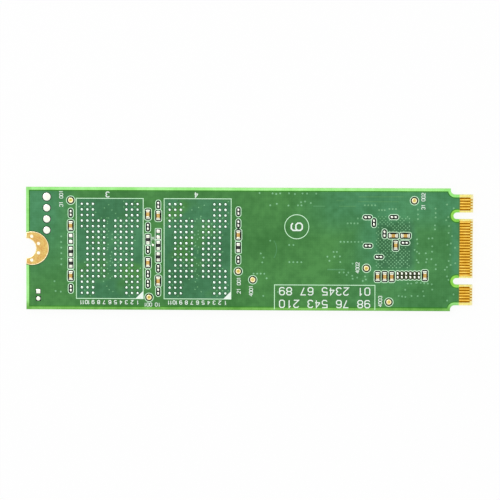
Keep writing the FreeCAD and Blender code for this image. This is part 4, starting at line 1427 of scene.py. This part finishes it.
def lead(shape, box, sign):
    """One gull-wing lead, bent round two knees, with its solder at the foot."""
    x0, y0, x1, y1 = box.plan()
    wall, tip = (y0, y1) if sign > 0 else (y1, y0)
    run = abs(tip - wall)
    half = LEAD_THICKNESS / 2
    rise = box.heights(DOWN)[1] - half
    line = [(0, rise), (LEAD_KNEE_PLACE, rise)]
    for a in LEAD_KNEE_ANGLES:
        line.append((LEAD_KNEE_PLACE + LEAD_KNEE * math.sin(a), rise - LEAD_KNEE * (1 - math.cos(a))))
    line += [(run - back, half + lift) for back, lift in LEAD_BEND]
    loops = []
    for i, (out, height) in enumerate(line):
        before = Vector(line[max(0, i - 1)])
        after = Vector(line[min(len(line) - 1, i + 1)])
        slope = (after - before).normalized() * half
        corners = ((x0, 1), (x1, 1), (x1, -1), (x0, -1))
        loops.append([(x, wall + sign * (out - slope.y * s), max(0.0, height + slope.x * s))
                      for x, s in corners])
    shape.loft(loops, "tin_terminal")
    y0, y1 = sorted((tip, tip - sign * LEAD_FOOT))
    foot = Box((x0, y0, 0), (x1, y1, 0))
    fillet(shape, foot, (0, sign), *JOINTS["lead"])


def inductors():
    """Pressed powder inductors with plated end straps."""
    bodies(DOWN, "inductor_bodies", "inductor_blocks", "inductor_composite", "inductor_grey",
           edge=0.06, corner=0.3)
    chips = solids("inductor_bodies")
    shape = Shape(DOWN)
    for box in solids("inductor_terminals"):
        near, far = box.heights(DOWN)
        way = facing_out(box, chips)
        outer = box.high.x if way[0] > 0 else box.low.x
        x0, x1 = sorted((outer, outer - way[0] * STRAP))
        shape.block(x0, box.low.y, x1, box.high.y, near, far, STRAP_EDGE, "tin_terminal")
        shape.block(*box.plan(), near, near + STRAP, STRAP_EDGE, "tin_terminal")
        fillet(shape, box, way, *JOINTS["inductor"])
    shape.piece("inductor_straps", "solder_tin", "inductor_terminals")


def crystal():
    """Crystal unit: dark ceramic base, welded metal lid with a raised seam."""
    bodies(DOWN, "crystal_base", "crystal_ceramic_base", "crystal_ceramic", "ceramic_dark",
           edge=0.02, corner=0.12)
    box = node_box("crystal_lid")
    near, far = box.heights(DOWN)
    shape = Shape(DOWN)
    shape.block(*box.plan(), near, near + LID_SEAM, LID_SEAM_EDGE, "nickel", corner=0.25)
    shape.block(*box.plan(-LID_STEP), near + LID_SEAT, far, LID_EDGE, "nickel", corner=0.2)
    shape.piece("crystal_welded_lid", "crystal_steel", "crystal_lid")


def lower_pads():
    """Pads with solder under the chips of the lower face, with the gap in the mask round each."""
    gaps = Shape(DOWN)
    shape = Shape(DOWN)
    for node in LOWER_PAIRS:
        chips = solids(node.replace("terminals", "bodies"))
        for box in solids(node):
            dx, dy = facing_out(box, chips)
            grow = Vector((JOINT_TOE * abs(dx) + JOINT_SIDE, JOINT_TOE * abs(dy) + JOINT_SIDE, 0)) / 2
            shift = Vector((dx, dy, 0)) * JOINT_TOE / 2
            pad = Box(box.low - grow + shift, box.high + grow + shift)
            shape.mound(*pad.plan(), lambda u, v: JOINT_FILM, "solder", cells=4)
            opening(gaps, pad)
    shape.piece("lower_pad_solder", "solder_tin")
    gaps.piece("lower_mask_gaps", "board_mask")


def lower_outline(shape, box, margin, corner):
    shape.ribbon(rectangle(*box.plan(margin), corner), LOWER_LINE, INK_HEIGHT, "ink_line", closed=True)


def lower_print():
    """Outlines round the parts of the lower face."""
    shape = Shape(DOWN)
    for node in PACKAGES:
        box = node_box(node)
        lower_outline(shape, box, *PACKAGE_OUTLINE)
        x, _, _, y = box.plan(PACKAGE_OUTLINE[0])
        mark = [(x, y), (x + LOWER_PIN_MARK, y), (x, y - LOWER_PIN_MARK)]
        shape.plate(mark, 0, INK_HEIGHT, "ink_white")
    for node in LOWER_PAIRS:
        for a, b in pairs(node):
            both = Box([min(p) for p in zip(a.low, b.low)], [max(p) for p in zip(a.high, b.high)])
            lower_outline(shape, both, *CHIP_OUTLINE)
    for box in solids("regulator_bodies"):
        lower_outline(shape, box, *REGULATOR_OUTLINE)
    lower_outline(shape, node_box("crystal_base"), *CRYSTAL_OUTLINE)
    shape.piece("lower_print", "board_mask")


def lower_tracks():
    """Tracks from the lower contacts to their vias, and vias round the packages."""
    shape = Shape(DOWN)
    draw = random.Random(7)
    for i, box in enumerate(solids("lower_edge_contacts")):
        length = LOWER_TRACK_LENGTHS[i % len(LOWER_TRACK_LENGTHS)]
        if any(abs(box.y - key) < KEY_REACH for key in KEY_CENTRES):
            length = KEY_TRACK_LENGTH
        end = (box.low.x - length, box.y)
        track(shape, [(box.low.x, box.y), end], LOWER_TRACK_WIDTH)
        tented_via(shape, *end, VIA_RADIUS)
    areas = [node_box(node).plan(LOWER_VIA_CLEARANCE) for node in PACKAGES]
    for node in (*LOWER_CHIPS, "regulator_leads", "inductor_bodies", "crystal_base", "lower_mounting_pad"):
        areas += [box.plan(LOWER_VIA_CLEARANCE) for box in solids(node)]
    placed = 0
    for _ in range(LOWER_VIA_TRIES):
        x = draw.uniform(MOUNTING_END + FACE_MARGIN, SHOULDER - FACE_MARGIN)
        y = draw.uniform(-HALF_WIDTH + FACE_MARGIN, HALF_WIDTH - FACE_MARGIN)
        if placed < LOWER_VIAS and is_clear(x, y, areas):
            tented_via(shape, x, y, VIA_RADIUS)
            areas.append(around("x", x, y, 0, 0, LOWER_VIA_CLEARANCE))
            placed += 1
    shape.piece("lower_tracks", "board_mask")


# Stage. Its places and sizes are in metres.

FLOOR_SIZE = 3.0
FLOOR_DROP = 0.03 * MM
FLOOR_GLOW = 0.92
FLOOR_PAPER = (0.95, 0.95, 0.95, 1)
VIEW_WIDTH = 89.54 * MM
CAMERA_DISTANCE = 0.5
SENSOR = 36.0
AIM = (0.03 * MM, -0.12 * MM)
CAMERA_ROLL = 0.003
CAMERA_LEAN = (math.radians(1.1), math.radians(4.3))
WORLD_TOP = 0.92
WORLD_HORIZON = 0.55
LAMPS = (("key_lamp", 0.9, (-0.22, 0.26, 0.55)), ("low_lamp", 1.8, (0.1, -0.2, -0.55)))
LAMP_SIZE = 0.3


def floor():
    """Pale floor, white where it is seen, that keeps a faint shadow and is clear from below."""
    mesh = bpy.data.meshes.new("floor")
    half = FLOOR_SIZE / 2
    mesh.from_pydata(at_height(corners_of(-half, -half, half, half), -FLOOR_DROP), [], [(0, 1, 2, 3)])
    material = bpy.data.materials.new("floor_white")
    mesh.materials.append(material)
    tree = Tree(material)
    tree.nodes.remove(tree.nodes["Principled BSDF"])
    paper = tree.node("BsdfDiffuse", {"Color": FLOOR_PAPER})
    share = tree.math("MULTIPLY", tree.seen_rays(), FLOOR_GLOW)
    front = tree.mixed(share, paper, tree.node("Emission"))
    behind = tree.node("NewGeometry").outputs["Backfacing"]
    unseen = tree.math("MAXIMUM", behind, tree.node("LightPath").outputs["Is Shadow Ray"])
    surface = tree.mixed(unseen, front, tree.node("BsdfTransparent"))
    tree.links.new(surface.outputs[0], tree.nodes["Material Output"].inputs["Surface"])
    add_to_scene("floor", mesh)


def surroundings():
    """Soft white surroundings, brighter overhead, plain white where they are seen."""
    world = bpy.data.worlds.new("studio")
    bpy.context.scene.world = world
    tree = Tree(world)
    place = tree.node("TexCoord").outputs["Generated"]
    ramp = tree.node("ValToRGB", {"Fac": tree.node("SeparateXYZ", {0: place}).outputs["Z"]})
    for stop, level in zip(ramp.color_ramp.elements, (WORLD_HORIZON, WORLD_TOP)):
        stop.color = (level, level, level, 1)
    lighting = tree.nodes["Background"]
    tree.links.new(ramp.outputs["Color"], lighting.inputs["Color"])
    white = tree.node("Background", {"Color": (1, 1, 1, 1)})
    surface = tree.mixed(tree.seen_rays(), lighting, white)
    tree.links.new(surface.outputs[0], tree.nodes["World Output"].inputs["Surface"])


def soft_lamp(name, power, place):
    """Large square lamp that faces the card."""
    lamp = bpy.data.lights.new(name, "AREA")
    lamp.energy = power
    lamp.size = LAMP_SIZE
    stand = add_to_scene(name, lamp)
    stand.location = place
    stand.rotation_euler = (-Vector(place)).to_track_quat("-Z", "Y").to_euler()


def camera():
    """Camera above the card, with the long lens, slight lean and roll of the photograph."""
    lens = bpy.data.cameras.new("camera")
    lens.sensor_width = SENSOR
    lens.lens = SENSOR * CAMERA_DISTANCE / VIEW_WIDTH
    lens.clip_start = 0.01
    lens.clip_end = 10
    eye = add_to_scene("camera", lens)
    lean_x, lean_y = CAMERA_LEAN
    way = Vector((math.tan(lean_x), math.tan(lean_y), 1)).normalized()
    eye.location = Vector((*AIM, TOP * MM)) + way * CAMERA_DISTANCE
    eye.rotation_euler = (-lean_y, lean_x, CAMERA_ROLL)
    bpy.context.scene.camera = eye


def gold():
    """Plated parts of both faces."""
    contacts(UP, "upper_edge_contacts")
    contacts(DOWN, "lower_edge_contacts")
    mounting_pad(UP, "upper_mounting_pad")
    mounting_pad(DOWN, "lower_mounting_pad")
    test_points()


def upper_face():
    """What the upper face carries."""
    for node in FLASH_LANDS:
        land_field(node)
    service_pads()
    upper_pads()
    chip_parts(UP)
    gaps = Shape()
    for node in FLASH_LANDS:
        round_openings(gaps, node, LAND_MARGIN)
    round_openings(gaps, "service_header_pads", HEADER_MARGIN)
    round_openings(gaps, "test_points", TEST_MARGIN)
    for box in solids("passive_pads") + solids("jumper_pads"):
        opening(gaps, box)
    upper_print(gaps)
    gaps.piece("upper_mask_gaps", "board_mask")
    upper_tracks()


def lower_face():
    """What the lower face carries."""
    for node, substrate in PACKAGES.items():
        package(node, substrate)
    solder_balls()
    regulators()
    inductors()
    crystal()
    chip_parts(DOWN)
    lower_pads()
    lower_print()
    lower_tracks()


# The whole scene

make_materials()
board()
gold()
upper_face()
lower_face()
floor()
surroundings()
for lamp in LAMPS:
    soft_lamp(*lamp)
camera()
bpy.context.scene.view_settings.view_transform = "Standard"
